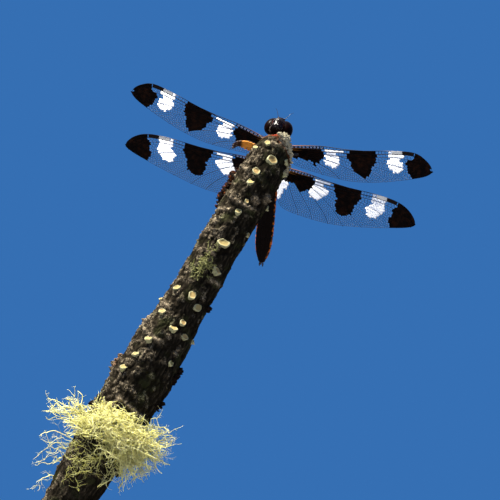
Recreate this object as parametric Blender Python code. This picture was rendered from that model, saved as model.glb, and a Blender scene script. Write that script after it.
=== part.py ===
# A male twelve-spotted skimmer, life size, at rest on the broken end of a lichened twig.
# The twig is the perch, and a plain display stand holds it: a flat base and one rod.
#
# All sizes below are millimetres. Meshes become metres when they are added.
# Insect frame: origin in the middle of the thorax, +X to the face, +Y to the
# insect's left, +Z to its back. World frame: origin under the middle of the base.
import math

import bmesh
import bpy
from mathutils import Matrix, Vector, noise

MM = 0.001
GAP = 0.2           # between neighbouring solids of the insect
PERCH_GAP = 0.3     # between the perch, what grows on it and its stand

# --- display stand ---
BASE_SIZE = (112.0, 92.0, 9.0)
BASE_CORNER = 14.0
BASE_EDGE = 1.0
ROD_RADIUS = 2.6
COLLAR_RADIUS = 6.2
COLLAR_HEIGHT = 3.0

# --- perch: a nearly straight twig that leans, with its broken end on top ---
PERCH_TOP = (48.6, -17.4, 243.6)
PERCH_FOOT_HEIGHT = 124.0
PERCH_LEAN = 32.4           # degrees from upright
PERCH_HEADING = -22.6       # degrees, the way it leans
PERCH_BOW = 0.55            # how far its middle swings to the right
PERCH_GIRTH = (             # distance down from the top, radius
    (0.0, 3.2), (2.5, 4.6), (6.0, 5.7), (12.0, 6.6), (36.0, 6.4), (60.0, 6.5), (68.0, 7.0),
    (76.0, 7.9), (86.0, 8.9), (91.0, 8.3), (108.0, 8.2), (116.0, 7.7), (122.0, 7.2), (128.0, 6.9), (150.0, 6.9),
)
PERCH_RINGS = 42
PERCH_SIDES = 20
BARK_RELIEF = 0.55

# --- how the insect sits ---
THORAX_AT = (45.5, -8.2, 241.1)
HEADING = -81.6
PITCH = 31.1
ROLL = -23.2
BREAK_BELOW_THORAX = 7.5    # the broken face lies along the insect's underside

# --- body: stations give x, full width, height above and depth below the middle line ---
THORAX = (
    (4.7, 3.6, 2.0, 2.5), (4.2, 5.3, 3.4, 3.7), (2.8, 6.8, 4.5, 4.4), (0.5, 7.4, 4.9, 4.7),
    (-2.0, 7.5, 4.9, 4.6), (-4.5, 7.1, 4.4, 4.1), (-6.4, 6.2, 3.4, 3.1), (-7.2, 5.2, 2.6, 2.4),
)
THORAX_SLANT = 0.22         # the sides lean back, so the legs sit ahead of the wings
PROTHORAX = ((4.75, 3.0, 1.7, 1.9), (5.1, 3.9, 2.3, 2.4), (5.7, 3.7, 2.0, 2.3), (6.1, 2.4, 1.2, 1.5))
NECK_RADIUS = 0.85

ABDOMEN_START = -7.6
ABDOMEN_RISE = 1.2
ABDOMEN_SWING = 1.5
SEGMENTS = (                # length, width, height, depth of each of the ten, at its rear
    (1.5, 4.7, 2.5, 2.1), (2.4, 4.9, 2.5, 2.1), (4.3, 4.9, 2.1, 1.8), (4.4, 5.2, 2.0, 1.7),
    (4.4, 5.5, 2.0, 1.65), (4.3, 5.6, 1.95, 1.6), (4.1, 5.2, 1.75, 1.5), (3.0, 4.1, 1.45, 1.25),
    (1.8, 2.7, 1.15, 1.0), (1.1, 1.9, 0.9, 0.75),
)
CERCUS_LENGTH = 2.0
CERCUS_RADIUS = 0.3

HEAD_AT = (9.3, 0.0, 0.3)
EYE_RADII = (2.55, 2.35, 3.3)
EYE_SPREAD = 2.02
EYE_TILT = 13.0
FACE_AT = (1.75, 0.0, -0.85)
FACE_RADII = (1.85, 2.15, 2.45)
MOUTH_AT = (0.75, 0.0, -2.75)
MOUTH_RADII = (2.2, 2.3, 1.35)
OCCIPUT_AT = (-1.55, 0.0, -0.2)
OCCIPUT_RADII = (1.05, 3.3, 2.9)
ANTENNA_ROOT = (2.65, 0.85, 1.55)
ANTENNA_REACH = (1.8, 2.1, 2.5)
ANTENNA_RADIUS = 0.26

# --- wings: each outline is span, chord from the wing's front line, root first ---
WING_THICKNESS = 0.5
FOREWING = {
    "root": (1.8, 3.6, 3.9), "sweep": 16.1, "droop": 4.2, "twist": 2.75,
    "front": ((-2.2, 0.5), (0.0, 0.8), (10.0, 1.05), (21.1, -0.05), (33.0, 0.15), (40.0, -0.2),
              (43.6, -2.5), (45.2, -5.2)),
    "rear": ((44.1, -7.1), (39.0, -8.5), (28.0, -10.0), (19.0, -10.0), (11.5, -8.5),
             (4.5, -6.6), (0.9, -5.2), (0.0, -3.2), (-2.2, -2.8)),
}
HINDWING = {
    "root": (-5.9, 3.6, 3.45), "sweep": 5.0, "droop": 9.0, "twist": 5.3,
    "front": ((-2.2, 0.6), (0.0, 1.1), (7.0, 1.0), (18.0, 0.0), (31.0, 0.25), (38.0, -0.4),
              (42.0, -2.4), (44.1, -5.4)),
    "rear": ((42.8, -7.1), (37.0, -9.0), (27.0, -11.5), (17.0, -13.3), (8.0, -13.4),
             (1.2, -12.8), (-1.3, -11.2), (-2.3, -8.4), (-2.5, -5.6), (-2.4, -3.6)),
}
OUTLINE_STEPS = 4

# --- legs: hip and ankle in the insect frame, which way the knee goes, femur and tibia ---
LEGS = {
    "fore": {"hip": (4.3, 1.2, -3.4), "ankle": (7.9, 2.4, -7.0), "knee": (0.35, 0.85, 0.3),
             "femur": 4.6, "tibia": 4.4, "toe": (1.3, 0.75, -0.05)},
    "mid": {"hip": (2.9, 1.7, -3.6), "ankle": (4.3, 4.3, -7.0), "knee": (0.0, 0.75, 0.65),
            "femur": 6.2, "tibia": 5.4, "toe": (0.1, 1.6, -0.05)},
    "hind": {"hip": (0.9, 1.8, -3.7), "ankle": (-1.3, 3.5, -7.0), "knee": (-0.9, 0.45, 0.25),
             "femur": 7.4, "tibia": 6.4, "toe": (-0.9, 1.5, -0.05)},
}
PERCH_SIDESTEP = 1.2        # the perch lies this far to the insect's left
COXA_RADIUS = 0.75
FEMUR_RADIUS = 0.45
TIBIA_RADIUS = 0.3
TARSUS_RADIUS = 0.26

# --- growths on the perch, placed from its top: distance down, degrees round, size ---
BEARD_DOWN = 107.0
BEARD_ROUND = -8.0
BEARD_OUT = 5.0
BEARD_ASIDE = 5.0
BEARD_RADII = (18.5, 10.5, 11.5)
LOBES = {
    "perch_rosette": {"down": 4.0, "round": 42.0, "out": 0.6, "radii": (2.4, 3.4, 1.2), "turn": 25.0,
                      "colour": (0.60, 0.62, 0.50)},
    "perch_lobe_upper": {"down": 20.0, "round": -92.0, "out": 0.5, "radii": (2.2, 5.2, 1.1), "turn": 0.0,
                         "colour": (0.22, 0.10, 0.05)},
    "perch_lobe_lower": {"down": 86.0, "round": -95.0, "out": 0.4, "radii": (2.6, 3.4, 1.1), "turn": 10.0,
                         "colour": (0.16, 0.09, 0.06)},
    "perch_lobe_right": {"down": 82.0, "round": 92.0, "out": 0.4, "radii": (1.6, 3.2, 1.0), "turn": 0.0,
                         "colour": (0.10, 0.09, 0.08)},
}
FLAKE_PATH = ((0.6, 0.0), (2.6, 0.5), (4.9, 0.4), (7.0, -0.9), (7.6, -3.0))   # out, up
FLAKE_WIDTHS = (1.6, 2.9, 2.8, 1.8, 1.5)
FLAKE_AT = (4.6, -2.0, -8.9)
FLAKE_THICKNESS = 0.5

# --- colours: linear RGB, roughness ---
FINISHES = {
    "stand_wood": ((0.16, 0.075, 0.035), 0.4),
    "brass": ((0.55, 0.40, 0.16), 0.3),
    "bark": ((0.07, 0.06, 0.05), 0.9),
    "beard": ((0.55, 0.60, 0.32), 0.8),
    "flake": ((0.55, 0.20, 0.03), 0.5),
    "thorax": ((0.045, 0.028, 0.018), 0.6),
    "abdomen": ((0.05, 0.03, 0.02), 0.45),
    "eye": ((0.02, 0.009, 0.006), 0.15),
    "face": ((0.05, 0.02, 0.012), 0.3),
    "leg": ((0.012, 0.009, 0.008), 0.4),
    "wing": ((0.35, 0.34, 0.32), 0.25),
}


# ---------------------------------------------------------------- shared helpers

def clear_scene():
    for item in list(bpy.data.objects):
        bpy.data.objects.remove(item, do_unlink=True)


def finish(name, colour=None, metallic=0.0):
    """One Principled material for each finish, made on first use."""
    existing = bpy.data.materials.get(name)
    if existing:
        return existing
    base, rough = FINISHES.get(name, (colour, 0.8))
    material = bpy.data.materials.new(name)
    material.use_nodes = True
    shader = material.node_tree.nodes["Principled BSDF"]
    shader.inputs["Base Color"].default_value = (*base, 1.0)
    shader.inputs["Roughness"].default_value = rough
    shader.inputs["Metallic"].default_value = metallic
    material.diffuse_color = (*base, 1.0)
    return material


def add_node(name, shape, material, parent=None, smooth=True):
    """Turn a bmesh in millimetres into one named object in metres."""
    bmesh.ops.remove_doubles(shape, verts=shape.verts, dist=0.002)
    bmesh.ops.recalc_face_normals(shape, faces=shape.faces)
    shape.transform(Matrix.Scale(MM, 4))
    mesh = bpy.data.meshes.new(name)
    shape.to_mesh(mesh)
    shape.free()
    mesh.materials.append(material)
    if smooth:
        mesh.shade_smooth()
        mesh.set_sharp_from_angle(angle=math.radians(40.0))
    node = bpy.data.objects.new(name, mesh)
    bpy.context.scene.collection.objects.link(node)
    node.parent = parent
    return node


def add_cutter(name, shape, parent=None):
    cutter = add_node(name, shape, finish("bark"), parent, smooth=False)
    cutter.hide_render = True
    cutter.display_type = "WIRE"
    return cutter


def cut_away(node, *cutters):
    for cutter in cutters:
        cut = node.modifiers.new("cut_" + cutter.name, "BOOLEAN")
        cut.operation = "DIFFERENCE"
        cut.solver = "EXACT"
        cut.object = cutter


def trim(shape, point, normal):
    """Cut off what lies on the normal's side of a plane, and close the cut."""
    parts = list(shape.verts) + list(shape.edges) + list(shape.faces)
    cut = bmesh.ops.bisect_plane(
        shape, geom=parts, dist=0.0001, plane_co=point, plane_no=normal, clear_outer=True)
    rim = [item for item in cut["geom_cut"] if isinstance(item, bmesh.types.BMEdge)]
    bmesh.ops.contextual_create(shape, geom=rim)


def eased(stations, position):
    """Smooth value between (position, value) stations."""
    if position <= stations[0][0]:
        return stations[0][1]
    for (left, low), (right, high) in zip(stations, stations[1:]):
        if position <= right:
            share = (position - left) / (right - left)
            share = share * share * (3.0 - 2.0 * share)
            return low + (high - low) * share
    return stations[-1][1]


def skin_rings(rings):
    """Close a row of equal rings into one body, each end with a fan."""
    shape = bmesh.new()
    rows = [[shape.verts.new(point) for point in ring] for ring in rings]
    count = len(rings[0])
    for row, following in zip(rows, rows[1:]):
        for i in range(count):
            j = (i + 1) % count
            shape.faces.new((row[i], row[j], following[j], following[i]))
    for row, ring in ((rows[0], rings[0]), (rows[-1], rings[-1])):
        middle = shape.verts.new(sum((Vector(point) for point in ring), Vector()) / count)
        for i in range(count):
            shape.faces.new((row[i], row[(i + 1) % count], middle))
    return shape


def curve_through(points, steps):
    """Catmull-Rom points through an open row of control points."""
    controls = [Vector(point) for point in points]
    padded = [controls[0] * 2 - controls[1]] + controls + [controls[-1] * 2 - controls[-2]]
    result = []
    for i in range(1, len(padded) - 2):
        before, start, end, after = padded[i - 1:i + 3]
        for step in range(steps):
            t = step / steps
            result.append(0.5 * (
                2 * start + (end - before) * t
                + (2 * before - 5 * start + 4 * end - after) * t * t
                + (3 * start - before - 3 * end + after) * t ** 3))
    result.append(controls[-1])
    return result


def sweep(points, radii, sides):
    """A round bar along a path, its rings carried along without twist."""
    path = [Vector(point) for point in points]
    rings = []
    across = None
    for i, point in enumerate(path):
        ahead = path[min(i + 1, len(path) - 1)] - path[max(i - 1, 0)]
        ahead.normalize()
        if across is None:
            across = ahead.orthogonal()
        across = (across - ahead * across.dot(ahead)).normalized()
        other = ahead.cross(across)
        ring = []
        for k in range(sides):
            angle = math.tau * k / sides
            ring.append(point + radii[i] * (math.cos(angle) * across + math.sin(angle) * other))
        rings.append(ring)
    return skin_rings(rings)


def ellipsoid(centre, radii, turn=None, segments=18, rings=12):
    shape = bmesh.new()
    bmesh.ops.create_uvsphere(shape, u_segments=segments, v_segments=rings, radius=1.0)
    place = Matrix.Translation(Vector(centre))
    if turn is not None:
        place = place @ turn
    shape.transform(place @ Matrix.Diagonal((*radii, 1.0)))
    return shape


def body_ring(x, width, above, below, squareness=2.4, sides=20, slant=0.0):
    """One cross-section of the body: a rounded box, flatter with more squareness."""
    power = 2.0 / squareness
    ring = []
    for k in range(sides):
        angle = math.tau * (k + 0.5) / sides
        c, s = math.cos(angle), math.sin(angle)
        y = 0.5 * width * math.copysign(abs(c) ** power, c)
        z = (above if s > 0 else below) * math.copysign(abs(s) ** power, s)
        ring.append(Vector((x - slant * z, y, z)))
    return ring


# ---------------------------------------------------------------- perch and its stand

def perch_frame():
    """Top point, direction up the twig, and its camera-side and right-hand directions."""
    lean, heading = math.radians(PERCH_LEAN), math.radians(PERCH_HEADING)
    up = Vector((math.sin(lean) * math.cos(heading), math.sin(lean) * math.sin(heading), math.cos(lean)))
    front = Vector((0.0, -1.0, 0.0))
    front = (front - up * front.dot(up)).normalized()
    return Vector(PERCH_TOP), up, front, front.cross(up) * -1.0


def perch_middle(down):
    top, up, front, right = perch_frame()
    swing = PERCH_BOW * math.sin(math.pi * down / perch_length())
    return top - up * down + (right + front * 0.5) * swing


def bark_point(down, degrees, lift=0.0):
    """A point on the bark: 0 degrees faces the front, 90 the right-hand side."""
    _, _, front, right = perch_frame()
    angle = math.radians(degrees)
    out = front * math.cos(angle) + right * math.sin(angle)
    spot = perch_middle(down) + out * eased(PERCH_GIRTH, down)
    relief = noise.noise(spot / 6.5) + 0.45 * noise.noise(spot / 2.6)
    return spot + out * (BARK_RELIEF * relief + lift)


def perch_length():
    top, up, _, _ = perch_frame()
    return (top.z - PERCH_FOOT_HEIGHT) / up.z + 8.0


def build_stand():
    foot = perch_middle((PERCH_TOP[2] - PERCH_FOOT_HEIGHT) / perch_frame()[1].z)
    width, depth, height = BASE_SIZE
    base = bmesh.new()
    corners = []
    for sx, sy, start in ((1, 1, 0), (-1, 1, 90), (-1, -1, 180), (1, -1, 270)):
        for step in range(7):
            angle = math.radians(start + 15 * step)
            corners.append(base.verts.new((
                sx * (width / 2 - BASE_CORNER) + BASE_CORNER * math.cos(angle),
                sy * (depth / 2 - BASE_CORNER) + BASE_CORNER * math.sin(angle), 0.0)))
    slab = base.faces.new(corners)
    raised = bmesh.ops.extrude_face_region(base, geom=[slab])
    lifted = [item for item in raised["geom"] if isinstance(item, bmesh.types.BMVert)]
    bmesh.ops.translate(base, verts=lifted, vec=(0.0, 0.0, height))
    rim = [edge for edge in base.edges if all(vert.co.z > height - 0.01 for vert in edge.verts)]
    bmesh.ops.bevel(base, geom=rim, offset=BASE_EDGE, segments=2, affect="EDGES", profile=0.5)
    add_node("stand_base", base, finish("stand_wood"))

    collar_top = PERCH_FOOT_HEIGHT - PERCH_GAP
    collar_bottom = collar_top - COLLAR_HEIGHT
    rod = [(foot.x, foot.y, height + PERCH_GAP), (foot.x, foot.y, collar_bottom - PERCH_GAP)]
    add_node("stand_rod", sweep(rod, (ROD_RADIUS, ROD_RADIUS), 20), finish("brass", metallic=1.0))
    collar = [(foot.x, foot.y, z) for z in (collar_bottom, collar_bottom + 0.7, collar_top)]
    widths = (ROD_RADIUS + 1.2, COLLAR_RADIUS, COLLAR_RADIUS)
    add_node("stand_collar", sweep(collar, widths, 24), finish("brass", metallic=1.0))


# ---------------------------------------------------------------- perch

def perch_shape(lift, sides, rings, pose):
    """The twig with its saw-cut foot and slanting broken end; lift swells it evenly."""
    length = perch_length()
    rows = []
    for i in range(rings + 1):
        share = i / rings
        down = length * (0.55 * share + 0.45 * share * share)
        rows.append([bark_point(down, 360.0 * k / sides, lift) for k in range(sides)])
    shape = skin_rings(rows)
    belly = pose.to_3x3() @ Vector((0.0, 0.0, 1.0))
    trim(shape, pose @ Vector((0.0, 0.0, lift - BREAK_BELOW_THORAX)), belly)
    trim(shape, (0.0, 0.0, PERCH_FOOT_HEIGHT - lift), (0.0, 0.0, -1.0))
    return shape


def growth_frame(down, degrees, out, turn=0.0):
    """Placement on the bark: local X across, Y up the twig, Z away from it."""
    _, up, _, _ = perch_frame()
    spot = bark_point(down, degrees)
    away = spot - perch_middle(down)
    away = (away - up * away.dot(up)).normalized()
    across = up.cross(away)
    axes = Matrix((across, up, away)).transposed().to_4x4()
    return Matrix.Translation(spot + away * out) @ axes @ Matrix.Rotation(math.radians(turn), 4, "Z")


def lumpy(radii, detail, ripple, scale):
    """An uneven pad: a sphere stretched and rippled."""
    shape = bmesh.new()
    bmesh.ops.create_icosphere(shape, subdivisions=detail, radius=1.0)
    for vert in shape.verts:
        swell = 1.0 + ripple * noise.noise(vert.co * scale + Vector(radii))
        vert.co = Vector((vert.co.x * radii[0], vert.co.y * radii[1], vert.co.z * radii[2])) * swell
    return shape


def build_perch(pose):
    add_node("perch_branch", perch_shape(0.0, PERCH_SIDES, PERCH_RINGS, pose), finish("bark"))
    swollen = add_cutter("perch_cutter", perch_shape(PERCH_GAP, PERCH_SIDES, PERCH_RINGS, pose))

    beard = lumpy(BEARD_RADII, 2, 0.3, 2.1)
    beard.transform(growth_frame(BEARD_DOWN, BEARD_ROUND, BEARD_OUT) @ Matrix.Translation((BEARD_ASIDE, 0, 0)))
    cut_away(add_node("perch_beard", beard, finish("beard")), swollen)

    for name, lobe in LOBES.items():
        pad = lumpy(lobe["radii"], 2, 0.3, 2.4)
        pad.transform(growth_frame(lobe["down"], lobe["round"], lobe["out"], lobe["turn"]))
        cut_away(add_node(name, pad, finish(name, lobe["colour"])), swollen)
    return swollen


def build_flake(insect, swollen):
    """A curled flake of bark standing out to the insect's right, from the broken rim."""
    rings = []
    path = curve_through([(out, rise, 0.0) for out, rise in FLAKE_PATH], 3)
    for i, point in enumerate(path):
        ahead = (path[min(i + 1, len(path) - 1)] - path[max(i - 1, 0)]).normalized()
        across = Vector((-ahead.y, ahead.x, 0.0)) * (FLAKE_THICKNESS / 2)
        share = i / (len(path) - 1) * (len(FLAKE_WIDTHS) - 1)
        low = min(int(share), len(FLAKE_WIDTHS) - 2)
        width = FLAKE_WIDTHS[low] + (FLAKE_WIDTHS[low + 1] - FLAKE_WIDTHS[low]) * (share - low)
        ring = []
        for side, face in ((-0.5, 1), (0.0, 1), (0.5, 1), (0.5, -1), (0.0, -1), (-0.5, -1)):
            bend = point + across * face
            ring.append(Vector(FLAKE_AT) + Vector((side * width + 0.25 * bend.x, -bend.x, bend.y)))
        rings.append(ring)
    cut_away(add_node("perch_flake", skin_rings(rings), finish("flake"), insect), swollen)


# ---------------------------------------------------------------- head

def head_part(centre, radii, turn=None, grow=0.0):
    spot = Vector(HEAD_AT) + Vector(centre)
    return ellipsoid(spot, [radius + grow for radius in radii], turn)


def eye_shape(side, grow=0.0):
    turn = Matrix.Rotation(math.radians(EYE_TILT) * side, 4, "X")
    shape = head_part((0.0, EYE_SPREAD * side, 0.25), EYE_RADII, turn, grow)
    trim(shape, (0.0, side * (GAP / 2 - grow), 0.0), (0.0, -side, 0.0))
    return shape


def build_head(insect):
    sides = {"left": 1, "right": -1}
    eye_cutters = []
    for name, side in sides.items():
        add_node("eye_" + name, eye_shape(side), finish("eye"), insect)
        eye_cutters.append(add_cutter("eye_cutter_" + name, eye_shape(side, GAP), insect))

    face = add_node("face", head_part(FACE_AT, FACE_RADII), finish("face"), insect)
    face_cutter = add_cutter("face_cutter", head_part(FACE_AT, FACE_RADII, grow=GAP), insect)
    cut_away(face, *eye_cutters)
    mouth = add_node("mouth", head_part(MOUTH_AT, MOUTH_RADII), finish("face"), insect)
    mouth_cutter = add_cutter("mouth_cutter", head_part(MOUTH_AT, MOUTH_RADII, grow=GAP), insect)
    cut_away(mouth, *eye_cutters, face_cutter)
    head = add_node("head", head_part(OCCIPUT_AT, OCCIPUT_RADII), finish("face"), insect)
    cut_away(head, *eye_cutters, mouth_cutter)

    for name, side in sides.items():
        mirror = Vector((1.0, side, 1.0))
        root = Vector(HEAD_AT) + Vector(ANTENNA_ROOT) * mirror
        reach = Vector(ANTENNA_REACH) * mirror
        path = [root, root + reach * 0.25, root + reach * 0.6 + Vector((0.0, 0.0, 0.1)), root + reach]
        radii = (ANTENNA_RADIUS * 1.3, ANTENNA_RADIUS * 1.2, ANTENNA_RADIUS, ANTENNA_RADIUS)
        antenna = add_node("antenna_" + name, sweep(path, radii, 8), finish("leg"), insect)
        cut_away(antenna, face_cutter, *eye_cutters)


# ---------------------------------------------------------------- thorax and abdomen

def thorax_shape(grow=0.0):
    rings = []
    for i, (x, width, above, below) in enumerate(THORAX):
        end = {0: grow, len(THORAX) - 1: -grow}.get(i, 0.0)
        rings.append(body_ring(x + end, width + 2 * grow, above + grow, below + grow, slant=THORAX_SLANT))
    return skin_rings(rings)


def build_thorax(insect):
    add_node("thorax", thorax_shape(), finish("thorax"), insect)
    cutter = add_cutter("thorax_cutter", thorax_shape(GAP), insect)
    rings = [body_ring(*station, sides=16) for station in PROTHORAX]
    cut_away(add_node("prothorax", skin_rings(rings), finish("thorax"), insect), cutter)
    front = PROTHORAX[-1][0] + GAP
    back_of_head = HEAD_AT[0] + OCCIPUT_AT[0] - OCCIPUT_RADII[0] - 0.05
    neck = sweep([(front, 0, 0), (back_of_head, 0, 0)], (NECK_RADIUS, NECK_RADIUS), 12)
    add_node("neck", neck, finish("thorax"), insect)
    return cutter


def build_abdomen(insect, thorax_cutter):
    turn = Matrix.Rotation(math.radians(ABDOMEN_RISE), 4, "Y")
    turn = Matrix.Rotation(math.radians(-ABDOMEN_SWING), 4, "Z") @ turn
    place = Matrix.Translation((ABDOMEN_START, 0.0, 0.1)) @ turn
    x = 0.0
    before = (SEGMENTS[0][1] - 0.3, SEGMENTS[0][2] - 0.1, SEGMENTS[0][3] - 0.1)
    for number, (length, *rear) in enumerate(SEGMENTS, start=1):
        rings = []
        for share, swell in ((0.0, 0.97), (0.08, 1.0), (0.5, 1.01), (0.92, 1.0), (1.0, 0.985)):
            at = x - GAP / 2 - (length - GAP) * share
            size = [(a + (b - a) * share) * swell for a, b in zip(before, rear)]
            rings.append(body_ring(at, *size, squareness=2.1, sides=16))
        shape = skin_rings(rings)
        shape.transform(place)
        segment = add_node("abdomen_%d" % number, shape, finish("abdomen"), insect)
        if number == 1:
            cut_away(segment, thorax_cutter)
        before = rear
        x -= length
    for name, side in (("left", 1), ("right", -1)):
        path = [(x - GAP, 0.42 * side, 0.1), (x - CERCUS_LENGTH * 0.5, 0.6 * side, 0.2),
                (x - CERCUS_LENGTH, 0.55 * side, 0.0)]
        radii = (CERCUS_RADIUS, CERCUS_RADIUS * 1.1, CERCUS_RADIUS * 0.85)
        cercus = sweep(path, radii, 8)
        cercus.transform(place)
        add_node("cercus_" + name, cercus, finish("leg"), insect)


# ---------------------------------------------------------------- wings

def wing_axes(wing, side):
    """Root point, direction along the span, and direction to the front edge."""
    sweep_angle, droop = math.radians(wing["sweep"]), math.radians(wing["droop"])
    twist = math.radians(wing["twist"])
    span = Vector((math.sin(sweep_angle) * math.cos(droop),
                   side * math.cos(sweep_angle) * math.cos(droop), -math.sin(droop)))
    ahead = Vector((1.0, 0.0, 0.0))
    ahead = (ahead - span * ahead.dot(span)).normalized()
    rise = ahead.cross(span) * side
    return Vector(wing["root"]) * Vector((1, side, 1)), span, ahead * math.cos(twist) + rise * math.sin(twist)


def build_wing(name, wing, side, insect, thorax_cutter):
    root, span, ahead = wing_axes(wing, side)
    normal = span.cross(ahead) * (WING_THICKNESS / 2)
    outline = curve_through(
        [(along, chord, 0.0) for along, chord in wing["front"] + wing["rear"]], OUTLINE_STEPS)
    shape = bmesh.new()
    faces = []
    for level in (-1, 1):
        verts = [shape.verts.new(root + span * p.x + ahead * p.y + normal * level) for p in outline]
        faces.append(verts)
    count = len(outline)
    for i in range(count):
        j = (i + 1) % count
        shape.faces.new((faces[0][i], faces[0][j], faces[1][j], faces[1][i]))
    for verts in faces:
        shape.faces.new(verts)
    cut_away(add_node(name, shape, finish("wing"), insect, smooth=False), thorax_cutter)


# ---------------------------------------------------------------- legs

def knee_point(hip, ankle, femur, tibia, hint):
    """Where a femur and a tibia of these lengths meet, bent towards the hint."""
    line = ankle - hip
    reach = min(line.length, 0.98 * (femur + tibia))
    along = (femur ** 2 - tibia ** 2 + reach ** 2) / (2 * reach)
    height = math.sqrt(max(femur ** 2 - along ** 2, 0.01))
    line.normalize()
    bend = (hint - line * hint.dot(line)).normalized()
    return hip + line * along + bend * height


def build_leg(name, leg, side, insect, cutters):
    mirror = Vector((1.0, side, 1.0))
    hip = Vector(leg["hip"]) * mirror
    ankle = Vector(leg["ankle"]) * mirror + Vector((0.0, PERCH_SIDESTEP, 0.0))
    knee = knee_point(hip, ankle, leg["femur"], leg["tibia"], Vector(leg["knee"]) * mirror)
    toe = ankle + Vector(leg["toe"]) * mirror
    path = [
        hip, hip.lerp(knee, 0.18), hip.lerp(knee, 0.32), hip.lerp(knee, 0.88), knee,
        knee.lerp(ankle, 0.1), knee.lerp(ankle, 0.9), ankle, ankle.lerp(toe, 0.35), toe,
    ]
    radii = (
        COXA_RADIUS, COXA_RADIUS, FEMUR_RADIUS * 1.1, FEMUR_RADIUS * 0.9, FEMUR_RADIUS * 0.85,
        TIBIA_RADIUS, TIBIA_RADIUS, TARSUS_RADIUS, TARSUS_RADIUS, TARSUS_RADIUS,
    )
    cut_away(add_node(name, sweep(path, radii, 8), finish("leg"), insect), *cutters)


# ---------------------------------------------------------------- assembly

def main():
    clear_scene()
    insect = bpy.data.objects.new("insect", None)
    bpy.context.scene.collection.objects.link(insect)
    pose = (Matrix.Translation(THORAX_AT)
            @ Matrix.Rotation(math.radians(HEADING), 4, "Z")
            @ Matrix.Rotation(math.radians(-PITCH), 4, "Y")
            @ Matrix.Rotation(math.radians(ROLL), 4, "X"))
    insect.matrix_world = Matrix.LocRotScale(pose.to_translation() * MM, pose.to_quaternion(), None)

    build_stand()
    swollen_perch = build_perch(pose)
    build_flake(insect, swollen_perch)
    build_head(insect)
    thorax_cutter = build_thorax(insect)
    build_abdomen(insect, thorax_cutter)
    for name, side in (("left", 1), ("right", -1)):
        build_wing("forewing_" + name, FOREWING, side, insect, thorax_cutter)
        build_wing("hindwing_" + name, HINDWING, side, insect, thorax_cutter)
        for pair, leg in LEGS.items():
            build_leg("leg_%s_%s" % (pair, name), leg, side, insect, (thorax_cutter, swollen_perch))


main()
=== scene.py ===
# A male twelve-spotted skimmer at rest on the broken end of a lichened twig, life size,
# with the twig held by a plain display stand.
# Sizes are millimetres unless a name says otherwise; meshes are metres.
# Insect frame: origin in the middle of the thorax, +X to the face, +Y to its left, +Z to its back.
import math
import random

import bpy
import numpy as np
from mathutils import Matrix, Vector, geometry, noise
from mathutils.bvhtree import BVHTree


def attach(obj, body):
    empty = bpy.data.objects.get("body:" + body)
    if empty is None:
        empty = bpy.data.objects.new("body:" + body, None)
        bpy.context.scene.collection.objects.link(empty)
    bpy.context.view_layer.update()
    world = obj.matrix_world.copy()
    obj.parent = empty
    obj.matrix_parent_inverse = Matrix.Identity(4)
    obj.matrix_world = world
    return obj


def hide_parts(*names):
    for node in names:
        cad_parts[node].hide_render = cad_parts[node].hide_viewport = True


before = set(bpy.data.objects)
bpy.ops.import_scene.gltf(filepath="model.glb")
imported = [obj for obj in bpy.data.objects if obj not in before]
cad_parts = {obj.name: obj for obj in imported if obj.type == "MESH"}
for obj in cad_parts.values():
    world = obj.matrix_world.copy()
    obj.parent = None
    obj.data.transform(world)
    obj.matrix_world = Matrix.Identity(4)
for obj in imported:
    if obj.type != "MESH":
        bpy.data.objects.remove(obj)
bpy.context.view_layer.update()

scene = bpy.context.scene
mm = 0.001
bothSides = (("left", 1), ("right", -1))


# how the insect and the twig stand; the same figures as in the part
insectPose = {"at": (45.5, -8.2, 241.1), "heading": -81.6, "pitch": 31.1, "roll": -23.2, "breakBelow": 7.5}
twigPose = {"top": (48.6, -17.4, 243.6), "foot": 124.0, "lean": 32.4, "heading": -22.6, "bow": 0.55}
# half its thickness at each distance below its top
twigGirth = ((0.0, 3.2), (2.5, 4.6), (6.0, 5.7), (12.0, 6.6), (36.0, 6.4), (60.0, 6.5), (68.0, 7.0),
             (76.0, 7.9), (86.0, 8.9), (91.0, 8.3), (108.0, 8.2), (116.0, 7.7), (122.0, 7.2), (128.0, 6.9),
             (150.0, 6.9))


def insectMatrix():
    place = Matrix.Translation(insectPose["at"])
    turn = Matrix.Rotation(math.radians(insectPose["heading"]), 4, "Z")
    turn = turn @ Matrix.Rotation(math.radians(-insectPose["pitch"]), 4, "Y")
    return place @ turn @ Matrix.Rotation(math.radians(insectPose["roll"]), 4, "X")


def twigAxes():
    lean, heading = math.radians(twigPose["lean"]), math.radians(twigPose["heading"])
    up = Vector((math.sin(lean) * math.cos(heading), math.sin(lean) * math.sin(heading), math.cos(lean)))
    front = Vector((0.0, -1.0, 0.0))
    front = (front - up * front.dot(up)).normalized()
    return up, front, front.cross(up) * -1.0


insect = insectMatrix()
twigUp, twigFront, twigRight = twigAxes()
twigTop = Vector(twigPose["top"])
# twig frame: X to its right, Y up along it, Z to its front
twig = Matrix.Translation(twigTop) @ Matrix((twigRight, twigUp, twigFront)).transposed().to_4x4()


def pick(*chosen):
    bpy.ops.object.select_all(action="DESELECT")
    for item in chosen:
        item.select_set(True)
    bpy.context.view_layer.objects.active = chosen[-1]


def applyModifier(piece, kind, **settings):
    modifier = piece.modifiers.new(kind.lower(), kind)
    for name, value in settings.items():
        setattr(modifier, name, value)
    pick(piece)
    bpy.ops.object.modifier_apply(modifier=modifier.name)


def editMesh(piece, *steps):
    pick(piece)
    bpy.ops.object.mode_set(mode="EDIT")
    bpy.ops.mesh.select_all(action="SELECT")
    for step in steps:
        step()
    bpy.ops.object.mode_set(mode="OBJECT")


def faceOut(piece, weld=None):
    # doubles closer than weld metres are merged before the faces are turned outwards
    merge = [lambda: bpy.ops.mesh.remove_doubles(threshold=weld)] if weld else []
    editMesh(piece, *merge, lambda: bpy.ops.mesh.normals_make_consistent(inside=False))


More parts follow.
